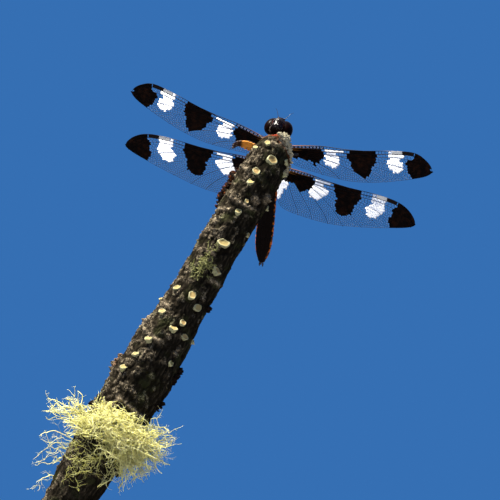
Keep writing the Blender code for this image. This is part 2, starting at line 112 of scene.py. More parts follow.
def addObject(name, mesh):
    piece = bpy.data.objects.new(name, mesh)
    scene.collection.objects.link(piece)
    return piece


def mergedCopy(name, node):
    piece = addObject(name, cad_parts[node].data.copy())
    piece.data.materials.clear()
    faceOut(piece, 2e-6)
    return piece


def settle(piece):
    # an object's place belongs in its mesh
    piece.data.transform(piece.matrix_basis)
    piece.matrix_basis = Matrix.Identity(4)
    piece.data.update()


def joinPieces(name, parts):
    for part in parts:
        settle(part)
    pick(*parts)
    if len(parts) > 1:
        bpy.ops.object.join()
    piece = bpy.context.view_layer.objects.active
    piece.name = name
    return piece


def moved(points, place):
    return points @ np.array(place.to_3x3()).T + np.array(place.translation)


def meshFrom(name, verts, faceSets, place=None):
    # verts in millimetres; faceSets is a list of arrays, each with its own number of corners
    verts = np.asarray(verts, dtype=np.float64).reshape(-1, 3)
    if place is not None:
        verts = moved(verts, place)
    mesh = bpy.data.meshes.new(name)
    mesh.vertices.add(len(verts))
    mesh.vertices.foreach_set("co", (verts * mm).astype(np.float32).ravel())
    faceSets = [np.asarray(faces, dtype=np.int32) for faces in faceSets if len(faces)]
    mesh.loops.add(sum(faces.size for faces in faceSets))
    mesh.loops.foreach_set("vertex_index", np.concatenate([faces.ravel() for faces in faceSets]))
    mesh.polygons.add(sum(len(faces) for faces in faceSets))
    starts, offset = [], 0
    for faces in faceSets:
        starts.append(offset + np.arange(len(faces)) * faces.shape[1])
        offset += faces.size
    mesh.polygons.foreach_set("loop_start", np.concatenate(starts).astype(np.int32))
    mesh.update(calc_edges=True)
    mesh.validate()
    return addObject(name, mesh)


def readVertices(piece, name):
    values = np.empty(len(piece.data.vertices) * 3, np.float32)
    piece.data.vertices.foreach_get(name, values)
    return values.reshape(-1, 3).astype(np.float64)


def readPoints(piece, place=None):
    # vertex places in millimetres, in the frame of the given matrix
    points = readVertices(piece, "co") / mm
    return points if place is None else moved(points, place.inverted())


def writePoints(piece, points, place):
    piece.data.vertices.foreach_set("co", (moved(points, place) * mm).astype(np.float32).ravel())
    piece.data.update()


def readNormals(piece, place):
    return readVertices(piece, "normal") @ np.array(place.to_3x3())


def setTint(piece, values, name="tint"):
    # three numbers or a colour for each vertex
    layer = piece.data.attributes.new(name, "FLOAT_COLOR", "POINT")
    layer.data.foreach_set("color", np.c_[values, np.ones(len(values))].astype(np.float32).ravel())


def setCoatMap(piece, spots):
    # each tuft's small patch on an unwrap of the skin below it
    layer = piece.data.uv_layers.new(name="OFBake")
    corners = np.empty(len(piece.data.loops), np.int32)
    piece.data.loops.foreach_get("vertex_index", corners)
    layer.data.foreach_set("uv", np.asarray(spots, np.float32)[corners].ravel())


def smooth(piece, angle=None):
    pick(piece)
    if angle is None:
        bpy.ops.object.shade_smooth()
    else:
        bpy.ops.object.shade_smooth_by_angle(angle=math.radians(angle))


def finishPiece(piece, material, slotName, *nodes):
    settle(piece)
    piece.data.materials.clear()
    piece.data.materials.append(material)
    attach(piece, "root")
    if nodes:
        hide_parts(*nodes)
    return piece


def between(stations, position):
    # a smooth value between (position, value) stations
    places = [place for place, value in stations]
    values = [value for place, value in stations]
    index = np.clip(np.searchsorted(places, position) - 1, 0, len(places) - 2)
    places, values = np.array(places), np.array(values)
    share = np.clip((position - places[index]) / (places[index + 1] - places[index]), 0.0, 1.0)
    share = share * share * (3.0 - 2.0 * share)
    return values[index] + (values[index + 1] - values[index]) * share


def curveThrough(points, steps):
    controls = [Vector(point) for point in points]
    padded = [controls[0] * 2 - controls[1]] + controls + [controls[-1] * 2 - controls[-2]]
    result = []
    for i in range(1, len(padded) - 2):
        before, start, end, after = padded[i - 1:i + 3]
        for step in range(steps):
            t = step / steps
            result.append(0.5 * (2 * start + (end - before) * t
                                 + (2 * before - 5 * start + 4 * end - after) * t * t
                                 + (3 * start - before - 3 * end + after) * t ** 3))
    result.append(controls[-1])
    return result


def flatCurve(pairs, steps):
    return np.array([(p.x, p.y) for p in curveThrough([(a, b, 0.0) for a, b in pairs], steps)])


def easedValues(values, steps):
    return np.array([p.x for p in curveThrough([(value, 0.0, 0.0) for value in values], steps)])


def noiseAt(points, scale, octaves=1, seed=0.0):
    # layered noise, about -1 to 1, for an array of points
    shift = Vector((seed * 7.31, seed * 3.17, seed * 1.93))
    result = np.zeros(len(points))
    for octave in range(octaves):
        factor = 2.0 ** octave / scale
        result += np.array([noise.noise(Vector(p) * factor + shift) for p in points]) / 2.0 ** octave
    return result


def tubes(points, radii, sides=3, caps=True):
    # round bars along many paths of equal length: points is (bars, steps, 3), radii (bars, steps)
    points = np.asarray(points, float)
    radii = np.asarray(radii, float)
    bars, steps = points.shape[:2]
    ahead = np.gradient(points, axis=1)
    ahead /= np.linalg.norm(ahead, axis=2, keepdims=True) + 1e-9
    helper = np.where(np.abs(ahead[:, 0, 2:3]) < 0.8, [[0.0, 0.0, 1.0]], [[1.0, 0.0, 0.0]])
    across = np.cross(ahead[:, 0], helper)
    rings = np.empty((bars, steps, sides, 3))
    angles = math.tau * np.arange(sides) / sides
    for i in range(steps):
        across = across - ahead[:, i] * np.sum(across * ahead[:, i], axis=1, keepdims=True)
        across /= np.linalg.norm(across, axis=1, keepdims=True) + 1e-9
        other = np.cross(ahead[:, i], across)
        for k, angle in enumerate(angles):
            out = across * math.cos(angle) + other * math.sin(angle)
            rings[:, i, k] = points[:, i] + out * radii[:, i:i + 1]
    index = np.arange(bars * steps * sides).reshape(bars, steps, sides)
    following = np.roll(index, -1, axis=2)
    walls = np.stack((index[:, :-1], following[:, :-1], following[:, 1:], index[:, 1:]), axis=-1)
    faces = [walls.reshape(-1, 4)]
    if caps:
        faces.append(index[:, 0, ::-1].reshape(-1, sides))
        faces.append(index[:, -1, :].reshape(-1, sides))
    return rings.reshape(-1, 3), faces


def gather(shapes):
    # several (verts, faces) shapes as one
    verts, faces, offset = [], [], 0
    for shapeVerts, shapeFaces in shapes:
        verts.append(np.asarray(shapeVerts))
        faces += [np.asarray(part) + offset for part in shapeFaces if len(part)]
        offset += len(shapeVerts)
    return np.concatenate(verts), faces


# shader maths

class Wire:
    def __init__(self, paint, socket):
        self.paint, self.socket = paint, socket

    def maths(self, operation, first, second):
        return self.paint.add("ShaderNodeMath", {"operation": operation}, {0: first, 1: second})

    def __add__(self, other):
        return self.maths("ADD", self, other)
    __radd__ = __add__

    def __sub__(self, other):
        return self.maths("SUBTRACT", self, other)

    def __rsub__(self, other):
        return self.maths("SUBTRACT", other, self)

    def __mul__(self, other):
        return self.maths("MULTIPLY", self, other)
    __rmul__ = __mul__

    def __pow__(self, other):
        return self.maths("POWER", self, other)

    def __abs__(self):
        return self.paint.add("ShaderNodeMath", {"operation": "ABSOLUTE"}, {0: self})


class Paint:
    def __init__(self, name, **fixed):
        self.material = bpy.data.materials.new(name)
        self.material.use_nodes = True
        self.tree = self.material.node_tree
        self.shader = self.tree.nodes["Principled BSDF"]
        for socket, value in fixed.items():
            self.shader.inputs[socket.replace("_", " ")].default_value = value

    def add(self, kind, settings=None, values=None, output=0):
        node = self.tree.nodes.new(kind)
        for name, setting in (settings or {}).items():
            if name == "stops":
                ramp = node.color_ramp
                while len(ramp.elements) < len(setting):
                    ramp.elements.new(1.0)
                for element, (position, colour) in zip(ramp.elements, setting):
                    element.position = position
                    element.color = (*colour, 1.0)
            else:
                setattr(node, name, setting)
        for name, value in (values or {}).items():
            if isinstance(value, Wire):
                self.tree.links.new(value.socket, node.inputs[name])
            else:
                node.inputs[name].default_value = value
        return Wire(self, node.outputs[output])

    def place(self, matrix=None, stretch=(1.0, 1.0, 1.0)):
        # millimetres in the frame of the matrix
        spot = self.add("ShaderNodeTexCoord", output="Object")
        at, turn = (0.0, 0.0, 0.0), (0.0, 0.0, 0.0)
        if matrix is not None:
            at, turn = matrix.to_translation() * mm, matrix.to_euler()
        return self.add("ShaderNodeMapping", {"vector_type": "TEXTURE"}, {
            "Vector": spot, "Location": at, "Rotation": turn, "Scale": [mm * part for part in stretch]})

    def axes(self, vector):
        first = self.add("ShaderNodeSeparateXYZ", values={0: vector})
        return [Wire(self, output) for output in first.socket.node.outputs]

    def speckle(self, vector, size, detail=3.0, roughness=0.5, distortion=0.0):
        return self.add("ShaderNodeTexNoise", values={
            "Vector": vector, "Scale": 1.0 / size, "Detail": detail, "Roughness": roughness,
            "Distortion": distortion})

    def cells(self, vector, size, feature="F1"):
        return self.add("ShaderNodeTexVoronoi", {"feature": feature}, {"Vector": vector, "Scale": 1.0 / size})

    def step(self, value, low, high, first=0.0, last=1.0):
        return self.add("ShaderNodeMapRange", {"interpolation_type": "SMOOTHSTEP"}, {
            "Value": value, "From Min": low, "From Max": high, "To Min": first, "To Max": last})

    def band(self, value, low, high, soft):
        return self.step(value, low - soft, low + soft) * self.step(value, high - soft, high + soft, 1.0, 0.0)

    def ramp(self, value, *stops):
        return self.add("ShaderNodeValToRGB", {"stops": stops}, {0: value})

    def mix(self, share, first, second):
        first = first if isinstance(first, Wire) else (*first, 1.0)
        second = second if isinstance(second, Wire) else (*second, 1.0)
        return self.add("ShaderNodeMix", {"data_type": "RGBA"}, {0: share, 6: first, 7: second}, output=2)

    def tint(self, name="tint"):
        return self.add("ShaderNodeAttribute", {"attribute_name": name}, output="Color")

    def feed(self, **links):
        for name, wire in links.items():
            self.tree.links.new(wire.socket, self.shader.inputs[name.replace("_", " ")])
        return self.material

    def bump(self, height, depth, strength=1.0):
        # depth in millimetres
        wire = self.add("ShaderNodeBump", values={
            "Height": height, "Distance": depth * mm, "Strength": strength})
        self.tree.links.new(wire.socket, self.shader.inputs["Normal"])


# camera, light and floor

shot = {"target": (38.0, 5.0, 215.2), "distance": 430.0, "upward": 27.0, "lens": 100.31}


def makeCamera():
    upward = math.radians(shot["upward"])
    back = Vector((0.0, -math.cos(upward), -math.sin(upward)))
    bpy.ops.object.camera_add(location=(Vector(shot["target"]) + back * shot["distance"]) * mm,
                              rotation=(math.pi / 2 + upward, 0.0, 0.0))
    camera = bpy.context.object
    camera.data.lens = shot["lens"]
    camera.data.sensor_width = 36.0
    camera.data.clip_start, camera.data.clip_end = 0.01, 20.0
    scene.camera = camera


studio = {
    "sky": (0.036, 0.159, 0.451), "skyStrength": 1.0,
    "lamps": {
        "overhead": {"at": (-0.20, -0.34, 1.02), "size": 0.2, "power": 44.0, "colour": (1.0, 0.95, 0.86)},
        "front": {"at": (-0.7, -1.0, 0.35), "size": 0.9, "power": 2.0, "colour": (0.95, 0.97, 1.0)},
        "behind": {"at": (0.2, 0.7, 1.1), "size": 1.2, "power": 3.0, "colour": (1.0, 1.0, 1.0)},
    },
}


def makeStudio():
    world = bpy.data.worlds.new("sky")
    world.use_nodes = True
    ground = world.node_tree.nodes["Background"]
    ground.inputs["Color"].default_value = (*studio["sky"], 1.0)
    ground.inputs["Strength"].default_value = studio["skyStrength"]
    scene.world = world
    aim = Vector(shot["target"]) * mm
    for name, lamp in studio["lamps"].items():
        at = Vector(lamp["at"])
        turn = (aim - at).to_track_quat("-Z", "Y").to_euler()
        bpy.ops.object.light_add(type="AREA", location=at, rotation=turn)
        light = bpy.context.object
        light.name = name + "Lamp"
        light.data.size = lamp["size"]
        light.data.energy = lamp["power"]
        light.data.color = lamp["colour"]
    bpy.ops.mesh.primitive_plane_add(size=6.0, location=(0.0, 0.0, -0.0005))
    floor = bpy.context.object
    floor.name = "floor"
    paint = Paint("floorPaper", Roughness=0.9)
    grain = paint.speckle(paint.place(), 3.0)
    tone = paint.mix(grain, (0.235, 0.235, 0.24), (0.255, 0.255, 0.26))
    floor.data.materials.append(paint.feed(Base_Color=tone))
    scene.view_settings.view_transform = "Standard"


# display stand: the part's own solids with their finishes

def dressStand():
    wood = Paint("waxedWalnut", Roughness=0.5, Specular_IOR_Level=0.3)
    rings = wood.add("ShaderNodeTexWave", {"wave_type": "BANDS", "bands_direction": "X"}, {
        "Vector": wood.place(None, (1.0, 0.08, 1.0)), "Scale": 0.045, "Distortion": 2.2, "Detail": 1.0,
        "Detail Scale": 0.15})
    pores = wood.speckle(wood.place(None, (1.0, 0.09, 1.0)), 0.22, 2.0, 0.6)
    tone = wood.ramp(rings, (0.0, (0.036, 0.016, 0.008)), (0.5, (0.044, 0.020, 0.010)),
                     (1.0, (0.056, 0.027, 0.013)))
    tone = wood.mix(wood.step(pores, 0.56, 0.7, 0.0, 0.65), tone, (0.03, 0.014, 0.008))
    wood.bump(pores, 0.05, 0.4)
    wood.feed(Base_Color=tone, Roughness=0.42 + pores * 0.22)

    brass = Paint("brushedBrass", Metallic=1.0)
    lines = brass.speckle(brass.place(None, (1.0, 1.0, 0.02)), 0.08, 2.0)
    smudge = brass.speckle(brass.place(), 6.0)
    brass.bump(lines, 0.01, 0.3)
    brass.feed(Base_Color=brass.mix(smudge, (0.62, 0.42, 0.16), (0.72, 0.53, 0.25)),
               Roughness=0.2 + lines * 0.16 + smudge * 0.08)
    for name, paint in (("stand_base", wood), ("stand_rod", brass), ("stand_collar", brass)):
        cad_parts[name].data.materials[0] = paint.material


makeCamera()
makeStudio()
dressStand()
print("camera, light and stand are set")


# wings: span and chord places on each wing's own plane, front to rear;
# veins: which one it leaves (-1 for the base), thickness, and its course
wings = {
    "forewing": {
        "root": (1.8, 3.6, 3.9), "sweep": 16.1, "droop": 4.2, "twist": 2.75, "nodus": 21.1, "seed": 4,
        "stigma": (33.2, 36.3, 40),
        "front": ((-2.2, 0.5), (0, 0.8), (10, 1.05), (21.1, -0.05), (33, 0.15), (40, -0.2),
            (43.6, -2.5), (45.2, -5.2)),
        "rear": ((44.1, -7.1), (39, -8.5), (28, -10), (19, -10), (11.5, -8.5), (4.5, -6.6),
            (0.9, -5.2), (0, -3.2), (-2.2, -2.8)),
        "veins": (
            (-1, 0.085, ((-2.2, 0), (0, 0.2), (4, 0.25), (10, 0.2), (16, -0.1), (21.1, -0.07))),
            (-1, 0.12, ((-2.2, -0.3), (0, -0.3), (5, -0.5), (10, -0.62), (16, -0.85),
                (21.1, -1.1), (28, -0.98), (33.2, -0.82), (40, -1.25), (43, -3.2), (44.7, -5.4))),
            (1, 0.075, ((3.2, 0), (5, -1.1), (10, -1.5), (16, -1.95), (21.5, -2.1), (28, -2),
                (34, -1.95), (39, -2.6), (42, -4.4), (44, -6.8))),
            (2, 0.06, ((21.8, 0), (25, -2.9), (31, -4), (37, -5.6), (41.6, -8))),
            (2, 0.055, ((14.5, 0), (19, -2.8), (25, -4.4), (31.5, -6.3), (37.3, -8.9))),
            (2, 0.055, ((11, 0), (16, -3), (22, -5.1), (27, -7.4), (30.6, -9.9))),
            (-1, 0.07, ((-2.2, -0.9), (0, -0.75), (4.6, -1.45), (8, -2.3), (12, -3.5), (17, -5.2),
                (21.5, -7.4), (25, -10.2))),
            (-1, 0.08, ((-2.2, -1.4), (0, -1.2), (4.6, -1.95), (6.6, -2.9), (8, -4), (11, -5.6),
                (13.7, -7.5), (15.6, -9.5))),
            (-1, 0.06, ((-2.2, -2), (0, -1.9), (3, -2.9), (5.5, -4), (7.4, -5.2), (9, -6.6),
                (10, -8.4))),
        ),
        "black": (
            ((0, 0.12), (5, 0.2), (10.4, 0.1), (11.2, -1.5), (11, -2.7), (10.4, -3.5), (9.3, -4.1),
            (8.2, -4.3), (7.7, -5.5), (7.2, -4.2), (5.5, -3.6), (3.3, -3.3), (0, -2.9)),
            ((20.9, 0.3), (28.1, 0.4), (28.1, -3.2), (27.4, -4.4), (26.6, -5.4), (26, -6.6),
            (25.5, -7.9), (24, -8.9), (22.4, -8.4), (21.1, -7.2), (20.2, -6), (19.9, -4.6),
            (18.9, -3), (18.3, -1.9), (18.9, -1.1)),
            ((36.5, 0.5), (41, 0.5), (46.5, -1), (46.5, -9.5), (38.6, -9.5), (38.8, -7.2),
            (37.8, -6.2), (38.1, -5), (37.4, -4), (37.7, -3.1), (39.2, -2.5), (40.2, -1.6),
            (39, -1), (37, -0.9)),
        ),
        "white": (
            ((11.6, -0.1), (17.8, -0.2), (17, -0.95), (15.2, -1.3), (15.6, -2.2), (16.4, -3),
            (16.2, -4.2), (15.6, -5.2), (14.4, -5.9), (12.8, -5.7), (11.7, -4.8), (11.2, -3.4),
            (11.5, -1.6)),
            ((32.4, 0.3), (36.4, 0.3), (36.7, -1.2), (36.2, -1.9), (35.4, -2.5), (35.9, -3.4),
            (36.4, -4.6), (36.4, -5.6), (35.4, -6.3), (34.4, -7.1), (33.2, -6.7), (32.2, -5.8),
            (31.6, -4.6), (31.5, -3.3), (32.1, -2.4), (32, -1.2)),
        ),
    },
    "hindwing": {
        "root": (-5.9, 3.6, 3.45), "sweep": 5, "droop": 9, "twist": 5.3, "nodus": 18, "seed": 9,
        "stigma": (30.8, 34.2, 37.6),
        "front": ((-2.2, 0.6), (0, 1.1), (7, 1), (18, 0), (31, 0.25), (38, -0.4),
            (42, -2.4), (44.1, -5.4)),
        "rear": ((42.8, -7.1), (37, -9), (27, -11.5), (17, -13.3), (8, -13.4), (1.2, -12.8),
            (-1.3, -11.2), (-2.3, -8.4), (-2.5, -5.6), (-2.4, -3.6)),
        "veins": (
            (-1, 0.085, ((-2.2, 0.1), (0, 0.35), (5, 0.22), (10, 0.12), (15, -0.08),
                (18, -0.02))),
            (-1, 0.12, ((-2.2, -0.3), (0, -0.15), (5, -0.55), (10, -0.75), (18, -1.05),
                (25, -0.95), (30.8, -0.78), (37.6, -1.4), (41, -3.4), (43.3, -6))),
            (1, 0.075, ((2.6, 0), (5, -1.2), (9, -1.65), (13, -1.95), (18.4, -2.05),
                (25, -1.95), (31, -1.9), (36.5, -2.7), (40, -4.8), (42.4, -7.3))),
            (2, 0.06, ((18.8, 0), (22, -2.9), (28, -4.1), (34, -6.1), (38.6, -8.7))),
            (2, 0.055, ((11.5, 0), (16.5, -3), (22.5, -5.1), (28.5, -7.3), (33.6, -10.1))),
            (2, 0.055, ((8, 0), (13, -3.3), (18, -5.7), (23.5, -8.8), (27.4, -11.6))),
            (-1, 0.07, ((-2.2, -0.8), (0, -0.6), (3.2, -1.35), (6, -2.1), (10, -3.7), (14, -6),
                (18, -9.2), (21.3, -13))),
            (-1, 0.08, ((-2.2, -1.3), (0, -1.1), (3, -1.9), (4.6, -2.8), (8, -4.9), (11.5, -7.6),
                (14.4, -10.6), (16.2, -13.5))),
            (-1, 0.065, ((-2.2, -1.8), (0, -1.7), (3, -3.1), (5, -5.2), (7.4, -8.2), (9.6, -11),
                (10.6, -13.6))),
            (-1, 0.06, ((-2.2, -2.3), (-0.5, -2.3), (1.2, -3.8), (2.4, -6.4), (3.8, -9.2), (5.2, -11.6),
                (5.8, -13.5))),
        ),
        "black": (
            ((-1.5, 0.4), (9.6, 0.3), (9.9, -0.8), (9.5, -2.4), (9.2, -3.4), (8, -4.1), (6.8, -4.7),
            (5.6, -5.6), (4.8, -4.7), (4.2, -3.9), (2.6, -3.4), (-3, -3.2), (-3, 0)),
            ((16.9, 0.4), (25.5, 0.5), (26, -1.4), (25.4, -2.8), (24.7, -3.9), (24.2, -5.3),
            (23.4, -6.2), (24, -7.3), (23.4, -8.3), (21.8, -9), (19.4, -9.9), (18.3, -8.9),
            (17.8, -7.6), (17.4, -6.2), (18, -5), (17.7, -3.6), (16.9, -2.4)),
            ((34.4, 0.6), (39, 0.7), (45.5, -1), (45.5, -10), (36.2, -10), (36.1, -8.6),
            (35.8, -7.4), (35.8, -6), (36.9, -5), (36.2, -3.9), (36.6, -3), (37.6, -2.2),
            (37.8, -1.3), (35.6, -0.9)),
        ),
        "white": (
            ((-3, -3.3), (0.8, -3.4), (1.5, -4), (1.2, -5.6), (0.2, -6.3), (-0.3, -7.2), (-0.8, -8.2),
            (-1, -9.6), (-3, -10.8)),
            ((10.1, 0.1), (16.2, 0), (15.6, -0.8), (12.2, -0.95), (12.9, -1.6), (14, -2.2),
            (15.2, -3.2), (14.8, -4.2), (13.7, -5.1), (12.6, -6.1), (10.8, -6.9), (9.2, -6.3),
            (8.6, -5.2), (8.6, -4.1), (9.6, -3), (10, -1.4)),
            ((30.2, 0.4), (34.2, 0.4), (34.5, -1.2), (33.6, -2.2), (34, -3.2), (34.2, -4.3),
            (33.5, -5.2), (33, -6.2), (31.6, -7.1), (30, -7.9), (28.8, -7.1), (28, -6),
            (27.8, -4.8), (28.8, -3.8), (29.8, -2.4), (29.6, -1.2)),
        ),
    },
}
wingLook = {"coarse": 0.98, "fine": 0.66, "crossvein": 0.057, "film": 0.03, "pleat": 0.19, "settling": 4,
            # how far behind the front edge, and how high the film stands there
            "pleats": ((0.0, 0.9), (0.9, -0.7), (1.75, 1.0), (2.9, -0.6), (4.2, 0.35), (6.0, -0.25),
                       (8.5, 0.15), (14.0, 0.0)),
            # the small plates at the hinge: middle, half sizes, and whether dark
            "hinge": (((-1.9, -0.1, 0.1), (0.9, 0.5, 0.36), 0), ((-0.6, 0.25, 0.1), (0.9, 0.4, 0.28), 1),
                      ((-1.5, -1.3, 0.1), (0.7, 0.55, 0.3), 0), ((-0.6, -1.5, 0.05), (0.55, 0.4, 0.22), 1),
                      ((-1.7, -2.4, 0.1), (0.6, 0.5, 0.26), 0)),
            "hingeTones": ((0.36, 0.15, 0.035), (0.09, 0.035, 0.015)),
            "veinTones": ((0.032, 0.034, 0.046), (0.005, 0.004, 0.004), (0.66, 0.66, 0.67))}


def insidePolygon(points, polygon):
    polygon = np.asarray(polygon)
    x, y = points[:, 0:1], points[:, 1:2]
    ax, ay = polygon[:, 0], polygon[:, 1]
    bx, by = np.roll(ax, -1), np.roll(ay, -1)
    with np.errstate(divide="ignore", invalid="ignore"):
        crossing = ((ay > y) != (by > y)) & (x < (bx - ax) * (y - ay) / (by - ay) + ax)
    return crossing.sum(axis=1) % 2 == 1


def nearestOn(points, line):
    # foot of each point on a polyline, its distance, and whether it lies past an end
    start, end = line[:-1], line[1:]
    along = end - start
    offset = points[:, None] - start[None]
    t = np.sum(offset * along, axis=2) / np.maximum(np.sum(along * along, axis=1), 1e-9)
    clipped = np.clip(t, 0.0, 1.0)
    feet = start[None] + along[None] * clipped[..., None]
    gaps = np.linalg.norm(points[:, None] - feet, axis=2)
    best = np.argmin(gaps, axis=1)
    rows = np.arange(len(points))
    past = ((best == 0) & (t[rows, best] < -0.02)) | ((best == len(start) - 1) & (t[rows, best] > 1.02))
    return feet[rows, best], gaps[rows, best], past


def chordAt(line, span):
    return np.interp(span, line[:, 0], line[:, 1])


def patchEnd(wing):
    return max(span for span, chord in wing["black"][0])


def layVeins(wing):
    # each main vein as a fine line, front to rear, branches starting on the vein they leave
    lines = []
    for parent, thickness, course in wing["veins"]:
        course = list(course)
        if parent >= 0:
            start = course[0][0]
            course[0] = (start, float(chordAt(lines[parent], start)))
        lines.append(flatCurve(course, 14))
    return lines


def veinHeights(wing, lines, span):
    # chord place of every main vein at each span: a branch follows its parent until it starts
    rows = []
    for (parent, thickness, course), line in zip(wing["veins"], lines):
        height = chordAt(line, span)
        if parent >= 0:
            height = np.where(span < line[0, 0], rows[parent], height)
        ended = 99.0 if line[-1, 0] < wing["nodus"] + 0.5 and line[-1, 1] > -0.5 else -99.0
        rows.append(np.where(span > line[-1, 0], ended, height))
    return np.array(rows)


def regionOf(wing, lines, points):
    # how many main veins lie ahead of each point
    return (veinHeights(wing, lines, points[:, 0]) > points[:, 1]).sum(axis=0)


def cellGrain(points):
    behind = -points[:, 1]
    share = np.clip((behind - 1.6) / 7.0, 0.0, 1.0)
    return np.where(behind < 1.3, 1.08, wingLook["coarse"] - (wingLook["coarse"] - wingLook["fine"]) * share)


def crackle(seeds, ghosts):
    # cells round the seeds: corner places, each cell's ring of corners, and the edges between cells
    spots = np.concatenate((seeds, ghosts))
    made = geometry.delaunay_2d_cdt([Vector(p) for p in spots], [], [], 0, 1e-7)
    origin = np.array([source[0] if source else -1 for source in made[3]])
    corners = np.array([tuple(v) for v in made[0]])
    faces = np.array([face for face in made[2] if len(face) == 3])
    a, b, c = corners[faces[:, 0]], corners[faces[:, 1]], corners[faces[:, 2]]
    ab, ac = b - a, c - a
    twice = 2.0 * (ab[:, 0] * ac[:, 1] - ab[:, 1] * ac[:, 0])
    twice = np.where(np.abs(twice) < 1e-9, 1e-9, twice)
    lab, lac = np.sum(ab * ab, axis=1), np.sum(ac * ac, axis=1)
    centres = a + np.c_[ac[:, 1] * lab - ab[:, 1] * lac, ab[:, 0] * lac - ac[:, 0] * lab] / twice[:, None]
    owners = origin[faces]
    rings = [[] for seed in seeds]
    pairs = {}
    for index, trio in enumerate(owners):
        for k in range(3):
            first, second = trio[k], trio[(k + 1) % 3]
            if 0 <= first < len(seeds):
                rings[first].append(index)
            if max(first, second) < len(seeds) and min(first, second) >= 0:
                pairs.setdefault((min(first, second), max(first, second)), []).append(index)
    for number, ring in enumerate(rings):
        offset = centres[ring] - seeds[number]
        rings[number] = [ring[i] for i in np.argsort(np.arctan2(offset[:, 1], offset[:, 0]))]
    edges = [(pair, ends) for pair, ends in pairs.items() if len(ends) == 2]
    return centres, rings, edges


def ringMiddle(ring):
    x, y = ring[:, 0], ring[:, 1]
    nx, ny = np.roll(x, -1), np.roll(y, -1)
    cross = x * ny - nx * y
    area = cross.sum() / 2.0
    if abs(area) < 1e-6:
        return ring.mean(axis=0), 0.0
    return np.array([((x + nx) * cross).sum(), ((y + ny) * cross).sum()]) / (6.0 * area), area


def wingCells(wing):
    # fills the spaces between the main veins with cells, as on the real wing
    dice = np.random.default_rng(wing["seed"])
    outline = flatCurve(wing["front"] + wing["rear"], 4)
    outline = np.concatenate((outline, outline[:1]))
    lines = layVeins(wing)
    low, high = outline.min(axis=0), outline.max(axis=0)
    area = (high - low).prod()
    tries = low + (high - low) * dice.random((int(area * 60), 2))
    tries = tries[insidePolygon(tries, outline[:-1])]
    regions = regionOf(wing, lines, tries)
    walls = [outline] + lines
    corners, cells, edges, offset = [], [], [], 0
    for region in range(len(lines) + 1):
        spots = tries[regions == region]
        if len(spots) < 20:
            continue
        grain = cellGrain(spots)
        near = np.min([nearestOn(spots, wall)[1] for wall in walls], axis=0)
        seeds = []
        for spot, size, gap in zip(spots, grain, near):
            if gap < 0.12:
                continue
            if not seeds or np.min(np.sum((np.array(seeds) - spot) ** 2, axis=1)) > (0.8 * size) ** 2:
                seeds.append(spot)
        seeds = np.array(seeds)
        for turn in range(wingLook["settling"] + 1):
            ghosts = []
            reach = cellGrain(seeds) * 1.9
            for wall in walls:
                feet, gaps, past = nearestOn(seeds, wall)
                use = (gaps < reach) & (~past)
                ghosts.append(2.0 * feet[use] - seeds[use])
            centres, rings, joins = crackle(seeds, np.concatenate(ghosts))
            if turn == wingLook["settling"]:
                break
            for number, ring in enumerate(rings):
                if len(ring) > 2:
                    middle, size = ringMiddle(centres[ring])
                    if np.linalg.norm(middle - seeds[number]) < 0.6:
                        seeds[number] = middle
            seeds = seeds[(regionOf(wing, lines, seeds) == region) & insidePolygon(seeds, outline[:-1])]
        limit = cellGrain(seeds) * 3.2
        good = [len(ring) > 2 and np.linalg.norm(centres[ring] - seed, axis=1).max() < most
                for ring, seed, most in zip(rings, seeds, limit)]
        for number, ring in enumerate(rings):
            if good[number]:
                cells.append((seeds[number], [offset + i for i in ring]))
        for (first, second), ends in joins:
            if good[first] and good[second]:
                edges.append(((seeds[first], seeds[second]), [offset + i for i in ends]))
        corners.append(centres)
        offset += len(centres)
    return np.concatenate(corners), cells, edges, outline, lines


def shade(wing, points):
    # 0 clear, 1 black, 2 white
    points = np.atleast_2d(points)
    kind = np.zeros(len(points), int)
    for polygon in wing["white"]:
        kind[insidePolygon(points, polygon)] = 2
    for polygon in wing["black"]:
        kind[insidePolygon(points, polygon)] = 1
    return kind


def filmHeight(outline, points):
    # height of the pleated film: veins stand alternately on ridges and in furrows
    front = outline[:30]
    depth = np.interp(points[:, 0], front[:, 0], front[:, 1]) - points[:, 1]
    places, heights = zip(*wingLook["pleats"])
    fade = 1.0 - 0.65 * np.clip(points[:, 0] / 45.0, 0.0, 1.0)
    return wingLook["pleat"] * fade * np.interp(depth, places, heights)


def wingPlace(wing, side):
    sweep, droop, twist = (math.radians(wing[name]) for name in ("sweep", "droop", "twist"))
    span = Vector((math.sin(sweep) * math.cos(droop), side * math.cos(sweep) * math.cos(droop),
                   -math.sin(droop)))
    ahead = Vector((1.0, 0.0, 0.0))
    ahead = (ahead - span * ahead.dot(span)).normalized()
    rise = ahead.cross(span) * side
    ahead = ahead * math.cos(twist) + rise * math.sin(twist)
    axes = Matrix((span, ahead, ahead.cross(span) * side)).transposed().to_4x4()
    return insect @ Matrix.Translation(Vector(wing["root"]) * Vector((1, side, 1))) @ axes


def lump(centre, radii, sides=10, rings=7):
    share = np.cos(np.linspace(math.pi, 0.0, rings))
    verts, faces = tubes([np.c_[share, share * 0.0, share * 0.0]], [np.sqrt(1.0 - share ** 2) + 0.03], sides)
    return verts * radii + centre, faces


def stigmaPad(wing, outline, radiusVein):
    # the thick cell near the tip, between the costa and the vein behind it
    first, middle, last = wing["stigma"]
    spans = np.linspace(first, last, 30)
    front = np.interp(spans, outline[:30, 0], outline[:30, 1]) - 0.03
    rear = chordAt(radiusVein, spans)
    height = filmHeight(outline, np.c_[spans, (front + rear) / 2.0])
    verts, faces = tubes([np.c_[spans, (front + rear) / 2.0, height]], [(front - rear) / 2.0], 12)
    level = np.repeat(height, 12)
    verts[:, 2] = level + (verts[:, 2] - level) * 0.2
    pale = (spans < middle)[:, None]
    return (verts, faces), np.repeat(np.where(pale, (0.80, 0.80, 0.78), (0.012, 0.008, 0.007)), 12, axis=0)


